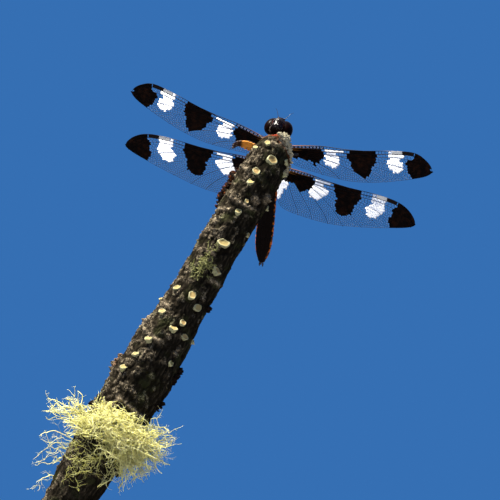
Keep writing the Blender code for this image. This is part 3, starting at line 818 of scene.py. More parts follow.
def wingPaints():
    vein = Paint("wingVein", Roughness=0.45, Specular_IOR_Level=0.02)
    tone = vein.tint()
    grain = vein.speckle(vein.place(insect), 0.5)
    vein.feed(Base_Color=vein.mix(grain * 0.35, tone, (0.004, 0.003, 0.003)), Roughness=0.4 + grain * 0.2)

    amber = Paint("wingAmber", Roughness=0.3, Alpha=0.3, Specular_IOR_Level=0.2)
    dapple = amber.speckle(amber.place(insect), 0.8, 3.0)
    amber.feed(Base_Color=amber.mix(dapple, (0.12, 0.06, 0.015), (0.62, 0.42, 0.12)))

    film = Paint("wingFilm", Roughness=0.12, Alpha=0.025, Specular_IOR_Level=0.3)
    spot = film.place(insect)
    sheen = film.speckle(spot, 5.0, 2.0)
    film.bump(film.speckle(spot, 0.7, 2.0), 0.02, 0.25)
    film.feed(Base_Color=film.mix(sheen, (0.30, 0.34, 0.38), (0.42, 0.38, 0.30)),
              Roughness=0.08 + sheen * 0.12)

    black = Paint("wingBlackPatch", Roughness=0.5, Specular_IOR_Level=0.01)
    spot = black.place(insect)
    rust = black.step(black.speckle(spot, 1.5, 4.0, 0.6, 0.4), 0.42, 0.75)
    black.bump(black.speckle(spot, 0.28, 2.0), 0.03, 0.4)
    black.feed(Base_Color=black.mix(rust, (0.003, 0.002, 0.002), (0.018, 0.007, 0.004)),
               Roughness=0.42 + rust * 0.25)

    white = Paint("wingWhitePatch", Roughness=0.5, Subsurface_Weight=1.0, Subsurface_Scale=0.6 * mm,
                  Subsurface_Radius=(1.0, 1.0, 1.0))
    spot = white.place(insect)
    chalk = white.speckle(spot, 0.8, 4.0, 0.6)
    white.bump(white.speckle(spot, 0.12, 2.0), 0.02, 0.5)
    white.feed(Base_Color=white.mix(chalk, (0.90, 0.91, 0.93), (0.97, 0.97, 0.97)),
               Roughness=0.42 + chalk * 0.25)
    return {"vein": vein.material, "film": film.material, "black": black.material, "white": white.material,
            "amber": amber.material}


def inStigma(points, radiusVein, first, last):
    x, y = points.T
    return (x > first) & (x < last) & (y > chordAt(radiusVein, x))


def wingSheets(wing, corners, cells, outline, lines):
    # film and patches, one sheet each, with the cell middles a touch proud
    seeds = np.array([seed for seed, ring in cells])
    ahead = seeds[:, 1] > chordAt(lines[0], seeds[:, 0])
    kinds = np.where(ahead & (seeds[:, 0] < patchEnd(wing)), 3, shade(wing, seeds))
    underPad = inStigma(seeds, lines[1], wing["stigma"][0] - 0.3, wing["stigma"][2] + 0.3)
    sheets = {"film": ([], []), "black": ([], []), "white": ([], []), "amber": ([], [])}
    for (seed, ring), kind, hidden in zip(cells, kinds, underPad):
        if hidden:
            continue
        verts, faces = list(sheets.values())[kind]
        start, count = len(verts), len(ring)
        around = corners[ring]
        heights = filmHeight(outline, around)
        verts += [(x, y, z) for (x, y), z in zip(around, heights)]
        verts.append((*around.mean(axis=0), heights.mean() + 0.02))
        faces += [(start + i, start + (i + 1) % count, start + count) for i in range(count)]
    return sheets


def crossVeins(wing, corners, edges, outline, lines):
    # bars between the cells; dark teeth run forward from the patch at the base
    tones = wingLook["veinTones"]
    bars, widths, tints = [], [], []
    for (one, two), ends in edges:
        spots = corners[ends]
        middle = spots.mean(axis=0)
        short = np.linalg.norm(spots[0] - spots[1]) < 0.05
        if short or inStigma(middle[None], lines[1], wing["stigma"][0], wing["stigma"][2])[0]:
            continue
        bars.append(np.c_[spots, filmHeight(outline, spots)])
        subcosta = chordAt(lines[0], spots[:, 0])
        if middle[0] < patchEnd(wing) and middle[1] > subcosta.mean():
            widths.append(0.30 - 0.23 * np.clip(spots[:, 1] - subcosta, 0.0, 1.0))
            tints.append(tones[1])
        else:
            widths.append([wingLook["crossvein"] * (1.35 if middle[1] > -1.2 else 1.0)] * 2)
            tints.append(tones[int(shade(wing, (np.array(one) + two) / 2)[0])])
    return tubes(np.array(bars), np.array(widths), 3, caps=False), np.repeat(np.array(tints), 6, axis=0)


def longVeins(wing, outline, lines):
    # the rim, with its thick front edge, then the main veins
    made = []
    for number, spots in enumerate([outline[:-1]] + lines):
        along = np.clip(spots[:, 0] / 45.0, 0.0, 1.0)
        if number == 0:
            frontness = np.arange(len(spots)) < len(wing["front"]) * 4 - 4
            radius = np.where(frontness, 0.135 - 0.06 * along, 0.05)
            radius = radius + 0.09 * np.exp(-((spots[:, 0] - wing["nodus"]) / 0.5) ** 2) * frontness
        else:
            radius = wing["veins"][number - 1][1] * (1.5 - 0.65 * along)
        kind = shade(wing, spots)
        colour = np.where((kind == 2)[:, None], (0.30, 0.28, 0.27), np.array(wingLook["veinTones"])[kind])
        if number < 3:
            amber = np.clip(1.0 - spots[:, 0:1] / (9.0 if number < 2 else 4.0), 0.0, 1.0)
            if number == 0:
                amber = amber * frontness[:, None]
            colour = colour * (1.0 - amber) + np.array((0.42, 0.17, 0.03)) * amber
        shape = tubes([np.c_[spots, filmHeight(outline, spots)]], [radius], 6)
        made.append((shape, np.repeat(colour, 6, axis=0)))
    return made


def wingVeins(wing, corners, edges, outline, lines):
    made = [crossVeins(wing, corners, edges, outline, lines), stigmaPad(wing, outline, lines[1])]
    for centre, radii, dark in wingLook["hinge"]:
        shape = lump(centre, radii)
        made.append((shape, np.tile(wingLook["hingeTones"][dark], (len(shape[0]), 1))))
    shapes, tints = zip(*(made + longVeins(wing, outline, lines)))
    return gather(shapes), np.concatenate(tints)


def buildWings():
    paints = wingPaints()
    for kindName, wing in wings.items():
        corners, cells, edges, outline, lines = wingCells(wing)
        sheets = wingSheets(wing, corners, cells, outline, lines)
        veins, tints = wingVeins(wing, corners, edges, outline, lines)
        for sideName, side in bothSides:
            place = wingPlace(wing, side)
            name = kindName + "_" + sideName
            for sheetName, (verts, faces) in sheets.items():
                piece = meshFrom("%s_%s" % (name, sheetName), verts, [faces], place)
                faceOut(piece, 6e-6)
                thick = wingLook["film"] * (1.0 if sheetName == "film" else 1.6)
                applyModifier(piece, "SOLIDIFY", thickness=thick * mm, offset=0.0)
                finishPiece(piece, paints[sheetName], "wing")
            piece = meshFrom(name + "_veins", *veins, place)
            setTint(piece, tints)
            faceOut(piece)
            smooth(piece)
            finishPiece(piece, paints["vein"], "wing", name)
        print(kindName + "s: %d cells, %d cross veins" % (len(cells), len(edges)))


buildWings()


# bark

bark = {
    "voxel": 0.315, "crack": 0.5, "plate": 0.34, "crust": 0.34, "grain": 0.17,
    # ridges across the bark: how far down, the middle turn, half their spread, and height
    "scars": ((26.5, 10, 60, 1.1), (45.5, -10, 40, 0.6), (63.5, -60, 60, 0.5), (30.5, -30, 35, 0.5),
              (6.5, 10, 45, 0.5), (16.0, -45, 30, 0.5), (52.0, 60, 30, 0.4), (74.0, -20, 50, 0.6),
              (95.0, 30, 50, 0.5), (36.0, 170, 60, 0.7), (72.0, 200, 60, 0.6)),
    # knobs: how far down, turn, size and height
    "knobs": ((21.8, 64, 2.0, 1.3), (24.2, 38, 1.7, 0.8), (35.0, -30, 1.6, 0.6), (71.0, -55, 2.0, 0.7)),
    # the rim of the break, from the left round to the right: turn and how far down
    "rim": ((-180.0, 6.0), (-75.0, 5.2), (-45.0, 4.6), (-12.0, 3.0), (12.0, 4.9), (43.0, 5.8), (65.0, 6.6),
            (100.0, 9.0), (180.0, 9.0)),
}


def ramped(values, low, high):
    share = np.clip((values - low) / (high - low), 0.0, 1.0)
    return share * share * (3.0 - 2.0 * share)


def buildBark():
    piece = mergedCopy("twigBark", "perch_branch")
    applyModifier(piece, "REMESH", mode="VOXEL", voxel_size=bark["voxel"] * mm)
    applyModifier(piece, "SMOOTH", factor=0.5, iterations=4)
    points = readPoints(piece, twig)
    normals = readNormals(piece, twig)
    down, turn = -points[:, 1], np.degrees(np.arctan2(points[:, 0], points[:, 2]))
    fromBreak = -insectPose["breakBelow"] - readPoints(piece, insect)[:, 2]
    fromFoot = readPoints(piece)[:, 2] - twigPose["foot"]
    side = ramped(fromBreak, 0.25, 0.9) * ramped(fromFoot, 0.15, 0.6)

    long = points * (1.0, 0.32, 1.0)
    plates = noiseAt(long, 2.6, 2, 1.0)
    cracks = 1.0 - ramped(np.abs(plates), 0.0, 0.16)
    fine = 1.0 - ramped(np.abs(noiseAt(long, 1.1, 1, 5.0)), 0.0, 0.14)
    broad = noiseAt(points, 5.5, 2, 2.0)
    # painted light: the pale crust is biased towards the left side of the twig, where the light falls, so
    # that side reads paler
    patch = noiseAt(points, 2.6, 3, 3.0) + 0.36 * np.cos(np.radians(turn + 60.0))
    # painted shadow: below the beard lichen, from just left of the front round to the right, the pale crust
    # is cut back so the bark there reads dark, as the beard's shadow
    crust = ramped(patch, 0.16, 0.5) * (1.0 - 0.8 * ramped(down, 105.0, 109.0) * ramped(turn, -42.0, -12.0))
    grains = noiseAt(points, 0.75, 2, 4.0)
    lift = bark["plate"] * broad - bark["crack"] * cracks * 0.6 - 0.16 * fine * (1.0 - crust)
    lift += bark["crust"] * crust * (0.5 + 1.1 * grains) + bark["grain"] * grains
    tops = np.zeros(len(down))
    for at, middle, spread, height in bark["scars"]:
        wave = 0.8 * np.sin(np.radians(turn * 2.0 + at * 30.0))
        away = (down - at - wave) / 0.8
        gap = np.abs((turn - middle + 180.0) % 360.0 - 180.0)
        ridge = np.exp(-away * away) * ramped(gap, spread, spread * 0.6)
        lift += height * ridge * (0.7 + grains)
        crust = np.maximum(crust, ridge)
        tops = np.maximum(tops, ridge ** 4)
    for at, middle, size, height in bark["knobs"]:
        gap = (turn - middle) * between(twigGirth, np.full(1, at))[0] * math.pi / 180.0
        knob = np.exp(-(((down - at) / size) ** 2 + (gap / size) ** 2) ** 1.5)
        lift += height * knob * (0.8 + grains)
        tops = np.maximum(tops, ramped(knob, 0.3, 0.9) * 0.7)
    fromRim = (down - np.interp(turn, *zip(*bark["rim"]))) * 0.8
    edge = np.exp(-(fromRim / 0.22) ** 2) * (np.abs(turn) < 110.0)
    above = ramped(-fromRim, 0.1, 0.5) * ramped(turn, 2.0, 10.0)
    lift += 0.3 * edge - 0.25 * above
    points += normals * (lift * side)[:, None]

    # the broken end: short splinters, and a torn lip of bark round it
    end = 1.0 - ramped(fromBreak, 0.0, 1.0)
    reach = np.hypot(points[:, 0] - 1.0, points[:, 2]) / between(twigGirth, np.clip(down, 0.0, 150.0))
    lip = ramped(reach, 0.8, 0.97) * (1.0 - ramped(fromBreak, 0.2, 0.8))
    splinters = noiseAt(points * (1.0, 0.08, 1.0), 0.7, 2, 6.0)
    rise = 0.35 * np.minimum(splinters, 0.35) * end + lip * (0.25 + 0.5 * np.abs(splinters))
    points[:, 1] += np.clip(rise, -0.5, 0.55)
    writePoints(piece, points, twig)

    wood = np.maximum(1.0 - ramped(fromBreak, 0.1, 0.5), 1.0 - ramped(fromFoot, 0.05, 0.25))
    # marks: crust, with its painted light on the left side and its painted shadow below the beard; cracks;
    # bare wood
    setTint(piece, np.c_[crust * side, np.maximum(cracks * 0.8, fine * 0.5), wood], "marks")
    setTint(piece, np.c_[np.maximum(lip * 0.6, edge), tops * side, above], "rims")
    smooth(piece)
    return piece


def barkPaint():
    paint = Paint("twigBark", Roughness=0.9, Specular_IOR_Level=0.0)
    spot = paint.place(twig)
    long = paint.place(twig, (1.0, 3.2, 1.0))
    crust, crack, wood = paint.axes(paint.tint("marks"))
    lip, tops, above = paint.axes(paint.tint("rims"))
    streak = paint.speckle(long, 0.9, 4.0, 0.62)
    grain = paint.speckle(spot, 0.3, 4.0, 0.65)
    broad = paint.speckle(spot, 7.0, 2.0)
    moss = paint.step(paint.speckle(spot, 5.0, 3.0), 0.52, 0.68)
    ground = paint.ramp(streak, (0.28, (0.002, 0.0015, 0.001)), (0.5, (0.011, 0.009, 0.006)),
                        (0.72, (0.055, 0.042, 0.028)))
    ground = paint.mix(broad * 0.5, ground, (0.010, 0.009, 0.006))
    ground = paint.mix(moss * 0.45, ground, (0.034, 0.038, 0.014))
    areoles = paint.step(paint.cells(spot, 0.55, "DISTANCE_TO_EDGE"), 0.02, 0.16)
    flecks = paint.step(grain + paint.speckle(spot, 1.1, 3.0) * 0.8, 0.82, 1.02)
    pale = paint.mix(grain, (0.07, 0.054, 0.036), (0.40, 0.33, 0.22))
    pale = paint.mix(moss * 0.6, pale, (0.20, 0.21, 0.10))
    pale = paint.mix(areoles, (0.035, 0.027, 0.020), pale)
    # pale crust where the mask gives it, including painted light on the left side and painted shadow below
    # the beard
    tone = paint.mix(crust * (0.08 + flecks * 0.92), ground, pale)
    tone = paint.mix(paint.step(grain, 0.62, 0.74) * 0.4, tone, (0.20, 0.16, 0.11))
    worn = paint.mix(grain, (0.12, 0.09, 0.055), (0.62, 0.50, 0.34))
    tone = paint.mix(tops * (0.25 + flecks * 0.75), tone, worn)
    tone = paint.mix(crack * 0.8, tone, (0.005, 0.004, 0.003))
    fibre = paint.speckle(paint.place(twig, (0.5, 6.0, 0.5)), 0.8, 3.0)
    timber = paint.ramp(fibre, (0.3, (0.10, 0.045, 0.02)), (0.55, (0.27, 0.15, 0.075)),
                        (0.75, (0.42, 0.28, 0.16)))
    tone = paint.mix(wood, tone, timber)
    bare = paint.mix(paint.step(grain, 0.42, 0.62), (0.012, 0.010, 0.007), (0.40, 0.35, 0.24))
    tone = paint.mix(above, tone, bare)
    tone = paint.mix(lip * 0.9, tone, paint.mix(fibre, (0.03, 0.008, 0.005), (0.13, 0.045, 0.018)))
    # a red spot on the front of the rim
    away = paint.add("ShaderNodeVectorMath", {"operation": "DISTANCE"}, {0: spot, 1: (-1.3, -3.2, 4.6)},
                     "Value")
    tone = paint.mix(paint.step(away, 1.2, 0.5) * (0.15 + lip * 0.8), tone, (0.24, 0.008, 0.003))
    paint.bump(streak * 0.6 + grain * 0.7, 0.3, 1.0)
    return paint.feed(Base_Color=tone, Roughness=0.78 + grain * 0.2)


barkPiece = finishPiece(buildBark(), barkPaint(), "bark", "perch_branch")
barkSurface = BVHTree.FromObject(barkPiece, bpy.context.evaluated_depsgraph_get())
print("bark: %d faces" % len(barkPiece.data.polygons))


def barkSpot(down, turn):
    # a place on the bark and the way out from it, in millimetres
    angle = math.radians(turn)
    out = twigFront * math.cos(angle) + twigRight * math.sin(angle)
    middle = twigTop - twigUp * down
    hit, normal, index, distance = barkSurface.ray_cast((middle + out * 30.0) * mm, -out)
    if hit is None:
        return middle + out * between(twigGirth, np.array([max(down, 0.0)]))[0], out
    return hit / mm, (out * 0.8 + normal * 0.2).normalized()


def growthPlace(down, turn, sink=0.0, spin=0.0):
    # local X across, Y up the twig, Z away from it
    spot, out = barkSpot(down, turn)
    across = twigUp.cross(out).normalized()
    axes = Matrix((across, out.cross(across), out)).transposed().to_4x4()
    return Matrix.Translation(spot - out * sink) @ axes @ Matrix.Rotation(math.radians(spin), 4, "Z")


# lichen cups: how far down the twig, how far round it, and their size

cups = {
    # radius and height of the wall, from the foot up over the lip and down into the cup
    "profile": ((0.74, -0.75), (0.82, -0.10), (0.96, 0.16), (1.05, 0.38), (1.05, 0.58), (0.98, 0.72),
                (0.86, 0.73), (0.74, 0.64), (0.40, 0.60), (0.12, 0.62)),
    "segments": 20, "scale": 0.86,
    "seen": ((11.5, 20, 1.79), (8.9, 69, 1.2), (16.8, 2, 1.34), (11.9, 84, 1.2), (7.1, -14, 1.05),
             (9.8, -40, 0.9), (20.4, 3, 1.33), (30.2, 15, 1.18), (40.6, 24, 1.76), (48.8, 43, 1.46),
             (58.6, -26, 1.17), (58.7, 21, 1.45), (60.8, 48, 1.46), (66.9, -22, 1.16), (67.0, 33, 1.16),
             (69.9, 22, 1.3), (70.1, 54, 1.16), (69.4, 95, 0.88), (78.7, 54, 1.16), (76.0, -11, 1.16),
             (81.7, -16, 1.15), (86.6, -25, 1.3), (26.0, 19, 0.8), (63.4, -60, 0.8), (34.0, 75, 0.9)),
    "unseen": 34,
}


def makeCup():
    profile = cups["profile"]
    bpy.ops.mesh.primitive_circle_add(vertices=cups["segments"], radius=profile[0][0],
                                      location=(0.0, 0.0, profile[0][1]))
    cup = bpy.context.object
    cup.name = "lichenCup"
    bpy.ops.object.mode_set(mode="EDIT")
    bpy.ops.mesh.select_all(action="SELECT")
    for (radius, height), (nextRadius, nextHeight) in zip(profile, profile[1:]):
        bpy.ops.mesh.extrude_region_move(TRANSFORM_OT_translate={"value": (0.0, 0.0, nextHeight - height)})
        bpy.ops.transform.resize(value=(nextRadius / radius, nextRadius / radius, 1.0),
                                 center_override=(0.0, 0.0, nextHeight))
    bpy.ops.mesh.edge_face_add()
    bpy.ops.mesh.poke()
    bpy.ops.object.mode_set(mode="OBJECT")
    settle(cup)
    return cup


def buildCups():
    dice = random.Random(12)
    pattern = makeCup()
    local = np.array([v.co for v in pattern.data.vertices])
    radius, angle = np.hypot(local[:, 0], local[:, 1]), np.arctan2(local[:, 1], local[:, 0])
    disc = ramped(radius, 0.90, 0.76) * (local[:, 2] > 0.55)
    lumpy = noiseAt(local + (3.0, 0.0, 0.0), 0.6, 2, 8.0)
    placed = list(cups["seen"])
    for number in range(cups["unseen"]):
        size = (0.7, 0.9, 1.1, 1.3, 1.6)
        placed.append((dice.uniform(5.0, 132.0), dice.uniform(105.0, 250.0), dice.choice(size)))
    parts = []
    for number, (down, turn, size) in enumerate(placed):
        cup = addObject("lichenCup", pattern.data.copy())
        wave = 1.0 + 0.09 * np.sin(2.0 * angle + number) + 0.06 * np.sin(5.0 * angle + number * 2.3)
        wave += 0.09 * np.roll(lumpy, number * 7)
        oval = 1.0 + 0.18 * math.sin(number * 1.7)
        shaped = local * size * cups["scale"]
        shaped[:, 0] *= wave * oval
        shaped[:, 1] *= wave / oval
        shaped[:, 2] += 0.10 * size * np.sin(3.0 * angle + number) * ramped(radius, 0.7, 1.0)
        lean = Matrix.Rotation(-math.radians(dice.uniform(20.0, 48.0)), 4, "X")
        place = growthPlace(down, turn, 0.05, dice.uniform(-35.0, 25.0)) @ lean
        writePoints(cup, shaped, place)
        setTint(cup, np.c_[disc, np.full(len(local), dice.random()), np.zeros(len(local))])
        parts.append(cup)
    bpy.data.objects.remove(pattern)
    piece = joinPieces("lichenCups", parts)
    faceOut(piece)
    applyModifier(piece, "SUBSURF", levels=1, render_levels=1)
    smooth(piece)
    finishPiece(piece, cupPaint(), "crust_lichen")
    print("lichen cups: %d" % len(placed))


def cupPaint():
    paint = Paint("lichenCup", Roughness=0.75, Specular_IOR_Level=0.2)
    spot = paint.place(twig)
    inside, kind, rest = paint.axes(paint.tint())
    grain = paint.speckle(spot, 0.25, 3.0, 0.6)
    blotch = paint.speckle(spot, 0.9, 2.0)
    edge = paint.mix(grain, (0.22, 0.21, 0.10), (0.46, 0.43, 0.25))
    edge = paint.mix(paint.step(blotch, 0.48, 0.7) * 0.6, edge, (0.13, 0.15, 0.07))
    cupTone = paint.mix(kind, (0.32, 0.26, 0.09), (0.38, 0.25, 0.09))
    cupTone = paint.mix(paint.step(blotch, 0.45, 0.7) * 0.6, cupTone, (0.15, 0.10, 0.04))
    paint.bump(grain + blotch, 0.12, 0.6)
    return paint.feed(Base_Color=paint.mix(inside, edge, cupTone), Roughness=0.62 + grain * 0.25)


buildCups()


# leafy lichens: ruffled scales in rosettes, and rusty curled ones along the edge

# spots: how far down and round the twig, and their spread; rise: how steeply the scales stand;
# lots: 0 brown to 1 near black; lift: how far out of the bark they may start
leafy = {
    "paleRosette": {
        "node": "perch_rosette", "scales": 50, "size": 0.66, "lumps": 150, "knob": 0.66,
        "thick": 0.22, "lift": 0, "colour": 0, "lots": (0, 1), "rise": (5, 60),
        "spots": ((2.2, 4, 0.7, 10), (2.2, 26, 1.1, 10), (3, 42, 1.3, 10), (4.4, 60, 1.4, 9),
                  (6.2, 78, 1.3, 9))},
    "rustyScalesUpper": {
        "node": "perch_lobe_upper", "scales": 110, "size": 1.5, "lumps": 60, "knob": 0.6,
        "thick": 0.2, "lift": 0.5, "colour": 1, "lots": (0.52, 1), "rise": (40, 100),
        "spots": ((20, -88, 3, 12), (24.5, -86, 2.6, 12), (26.5, -76, 2.4, 12))},
    "rustyScalesLower": {
        "node": "perch_lobe_lower", "scales": 44, "size": 1.3, "lumps": 26, "knob": 0.9,
        "thick": 0.2, "lift": 0.4, "colour": 0.7, "lots": (0, 1), "rise": (40, 90),
        "spots": ((86, -94, 3, 15),)},
    "darkScalesRight": {
        "node": "perch_lobe_right", "scales": 70, "size": 1.15, "lumps": 50, "knob": 0.8,
        "thick": 0.2, "lift": 0.5, "colour": 1, "lots": (0.9, 1), "rise": (40, 100),
        "spots": ((81, 88, 2.2, 8), (79.5, 92, 1.8, 8), (91, 84, 1.2, 8), (58.5, 88, 0.8, 6),
                  (99.5, -86, 1, 8), (103.5, -84, 0.8, 6), (113, 88, 1, 6))},
    "greyScales": {
        "scales": 70, "size": 1.25, "thick": 0.16, "lift": 0, "colour": 0.12, "lots": (0, 1),
        "rise": (10, 50),
        "spots": ((14, 150, 5, 24), (38, 205, 7, 28), (62, 160, 6, 24),
                  (92, 190, 8, 30), (9.5, 90, 2.5, 12))},
}


def makeScale():
    # one lobed scale, a few dozen faces, lying on XY and growing along +Y
    bpy.ops.mesh.primitive_grid_add(x_subdivisions=6, y_subdivisions=6, size=1.0, location=(0.0, 0.5, 0.0))
    scale = bpy.context.object
    settle(scale)
    return scale


def leafyPaint():
    paint = Paint("leafyLichen", Roughness=0.85, Specular_IOR_Level=0.05)
    spot = paint.place(twig)
    kind, edge, lot = paint.axes(paint.tint())
    grain = paint.speckle(spot, 0.3, 4.0, 0.6)
    pale = paint.mix(grain, (0.10, 0.085, 0.055), (0.46, 0.41, 0.27))
    pale = paint.mix(edge * 0.4, pale, (0.52, 0.47, 0.33))
    rust = paint.mix(grain, (0.030, 0.010, 0.005), (0.22, 0.060, 0.012))
    black = paint.mix(grain, (0.003, 0.002, 0.002), (0.018, 0.010, 0.006))
    rust = paint.mix(paint.step(lot, 0.5, 0.8), rust, black)
    paint.bump(grain, 0.12, 0.7)
    return paint.feed(Base_Color=paint.mix(kind, pale, rust), Roughness=0.7 + grain * 0.25)


def leafySpot(look, dice, count, sink):
    # the next place down and round the twig, and how deep
    down, turn, spread, swing = look["spots"][count % len(look["spots"])]
    return (down + dice.gauss(0.0, spread * 0.5), turn + dice.gauss(0.0, swing * 0.5),
            sink - dice.random() * look["lift"])


def leafyLumps(look, dice):
    # crumpled knobs that fill the middle of a rosette
    shapes, tints = [], []
    for count in range(look["lumps"]):
        place = growthPlace(*leafySpot(look, dice, count, 0.1))
        size = look["knob"] * dice.uniform(0.45, 1.0)
        verts, faces = lump((0.0, 0.0, 0.0), (size * 0.75, size * 0.6, size * 0.6), 12, 9)
        verts = verts * (1.0 + 0.42 * noiseAt(verts + count * 3.1, size * 0.55, 2, 9.0))[:, None]
        verts = verts + (0.0, 0.0, size * dice.uniform(0.1, 0.5))
        shapes.append((moved(verts, place), faces))
        tints.append(np.c_[np.full(len(verts), look["colour"]), np.clip(verts[:, 2] / size, 0.0, 1.0) ** 2,
                           np.full(len(verts), dice.uniform(*look["lots"]))])
    verts, faces = gather(shapes)
    piece = meshFrom("lumps", verts, faces)
    setTint(piece, np.concatenate(tints))
    return piece


def leafyScale(look, dice, count, flat):
    # one curled scale: its points in place, and how near each is to the rim
    across, along = flat[:, 0] * 2.0, flat[:, 1]
    size = look["size"] * dice.uniform(0.55, 1.2)
    phase = dice.uniform(0.0, 6.0)
    wide = size * (0.35 + 0.75 * np.sin(np.pi * (0.12 + 0.78 * along)))
    tip = 1.0 - 0.35 * across ** 2 + 0.10 * np.cos(across * 7.0 + phase)
    curl = dice.uniform(0.1, 0.5)
    z = size * (curl * along ** 2 + 0.16 * across ** 2 * np.sin(along * 6.0 + phase)
                + 0.10 * np.sin(across * 5.0 + phase) * along)
    place = growthPlace(*leafySpot(look, dice, count, 0.15), dice.uniform(-180.0, 180.0))
    place = place @ Matrix.Rotation(math.radians(dice.uniform(*look["rise"])), 4, "X")
    return np.c_[across * wide * 0.5, along * size * tip, z], place, np.maximum(np.abs(across), along) ** 3


def buildLeafy():
    paint = leafyPaint()
    pattern = makeScale()
    flat = np.array([v.co for v in pattern.data.vertices])
    for number, (name, look) in enumerate(leafy.items()):
        dice = random.Random(40 + number)
        parts = []
        for count in range(look["scales"]):
            shaped, place, edge = leafyScale(look, dice, count, flat)
            scale = addObject("scale", pattern.data.copy())
            writePoints(scale, shaped, place)
            lot = np.full(len(flat), dice.uniform(*look["lots"]))
            setTint(scale, np.c_[np.full(len(flat), look["colour"]), edge, lot])
            parts.append(scale)
        piece = joinPieces(name, parts)
        applyModifier(piece, "SOLIDIFY", thickness=look["thick"] * mm, offset=0.0)
        if "lumps" in look:
            piece = joinPieces(name, [piece, leafyLumps(look, dice)])
        smooth(piece, 50.0)
        finishPiece(piece, paint, "crust_lichen", *([look["node"]] if "node" in look else []))
    bpy.data.objects.remove(pattern)
    print("leafy lichens grown")


buildLeafy()


# beard lichen: branching threads, thickest where they leave the bark

beard = {
    "steps": 20, "thickness": 0.21, "forks": 2000, "twigs": 2400, "spurs": 2000,
    # roots: down and turn, and their spread; targets: right, down, front, and their spread;
    # winding, count and paleness; a low paleness is painted shade, darkening the locks that lie in shadow
    "locks": (
        ((103, 20), (2.5, 24), (4.5, 102.8, 12), (6, 2.8, 3), 1.6, 160, 1),
        ((101.5, 40), (2.5, 22), (10, 101.5, 8), (3.6, 3.2, 3), 1.5, 80, 1),
        ((101, 5), (1.8, 26), (1.5, 100.8, 9.8), (5, 1.3, 2), 1.1, 60, 1),
        ((106, -35), (2, 18), (-4.5, 106.6, 9), (2.6, 2, 2), 1.1, 42, 0.8),
        ((107, 40), (2.5, 20), (11.5, 108, 11.5), (3, 2.6, 2.5), 1.3, 54, 0.9),
        # this lock lies over the bark below the beard: its low paleness is painted shade
        ((114, 0), (5, 34), (-0.5, 116, 9.6), (7, 6, 0.5), 1, 28, 0.12),
        ((106, 175), (4, 40), (0, 106, -13), (6, 5, 2.5), 1.4, 90, 0.9),
        ((102, 78), (1.5, 16), (18.2, 97.4, 6), (2, 1.4, 2.5), 0.9, 15, 1),
        ((104, 76), (1.5, 16), (19.2, 102.6, 6), (2.2, 2.2, 2.5), 0.9, 18, 1),
        ((100, 70), (1.5, 16), (14.2, 96.5, 6), (2.2, 1, 2.5), 0.9, 14, 1),
        ((107, 72), (1.5, 16), (17.4, 109, 8.5), (2, 1.8, 2.5), 0.9, 22, 1),
        ((109, 60), (1.5, 16), (14.2, 114.5, 9.5), (1.8, 1.4, 2), 0.9, 14, 1),
        ((104, 74), (2, 18), (13.6, 104, 10), (2.6, 3.4, 3), 1.2, 40, 1),
        ((105, -76), (1.2, 12), (-18.2, 108.5, 5), (0.9, 0.8, 1.5), 0.6, 6, 1),
        ((104.5, -76), (1.2, 12), (-17, 105.4, 5), (1.1, 1, 1.5), 0.6, 7, 1),
        ((104, -70), (1.2, 12), (-13.4, 102.4, 5), (1.5, 1.1, 1.8), 0.7, 8, 1),
        ((103, -66), (1, 12), (-12.6, 99, 5), (0.9, 0.8, 1.8), 0.6, 3, 1),
        ((110, -76), (1.5, 14), (-14.8, 115.4, 5), (0.8, 0.6, 1.5), 0.5, 2, 0.7),
        ((113, -76), (1.5, 14), (-12, 118.4, 5), (0.8, 0.7, 1.5), 0.5, 2, 0.5),
        ((117, -80), (2, 14), (-12, 122, 5), (1, 1, 1.5), 0.8, 4, 0.6),
        ((123, -80), (2, 14), (-8.2, 127.5, 5), (0.7, 0.7, 1.5), 0.8, 2, 0.6),
        ((112, 70), (1.5, 14), (8.5, 118.5, 9), (1.2, 1, 1.5), 0.8, 5, 0.8),
    ),
}
# a small tuft half way up, on the camera side
tuft = {"down": 49.6, "turn": 7.0, "threads": 60, "shoots": 260, "steps": 10, "thickness": 0.13,
        "length": (1.8, 4.0)}


def tapered(start, end, steps):
    return start[:, None] * np.linspace(1.0, end, steps)[None]


def reachOut(dice, roots, outs, targets, steps, winding):
    # threads that leave the bark and wind their way to their targets
    t = np.linspace(0.0, 1.0, steps)[None, :, None]
    span = np.linalg.norm(targets - roots, axis=1, keepdims=True)
    bend = roots + outs * span * 0.4 + dice.normal(size=roots.shape) * span * 0.14
    points = (1.0 - t) ** 2 * roots[:, None] + 2.0 * t * (1.0 - t) * bend[:, None]
    points = points + t ** 2 * targets[:, None]
    for turns, share in ((0.9, 0.8), (1.9, 0.6), (3.7, 0.28), (6.5, 0.12)):
        swing = dice.normal(size=(len(roots), 1, 3)) * winding * share
        phase = dice.random((len(roots), 1, 1)) * math.tau
        points += swing * (np.sin(math.tau * turns * t + phase) - np.sin(phase)) * np.minimum(t * 2.2, 1.0)
    return points


def wander(dice, roots, headings, lengths, steps, curl):
    # threads that start out along their heading and wind about
    count = len(roots)
    points = np.empty((count, steps, 3))
    points[:, 0] = roots
    heading = headings / np.linalg.norm(headings, axis=1, keepdims=True)
    turn = dice.normal(size=(count, 3))
    stride = (lengths / (steps - 1))[:, None]
    for i in range(1, steps):
        turn = 0.75 * turn + 0.75 * dice.normal(size=(count, 3))
        heading = heading + curl * turn * stride * 0.32
        heading /= np.linalg.norm(heading, axis=1, keepdims=True)
        points[:, i] = points[:, i - 1] + heading * stride
    return points


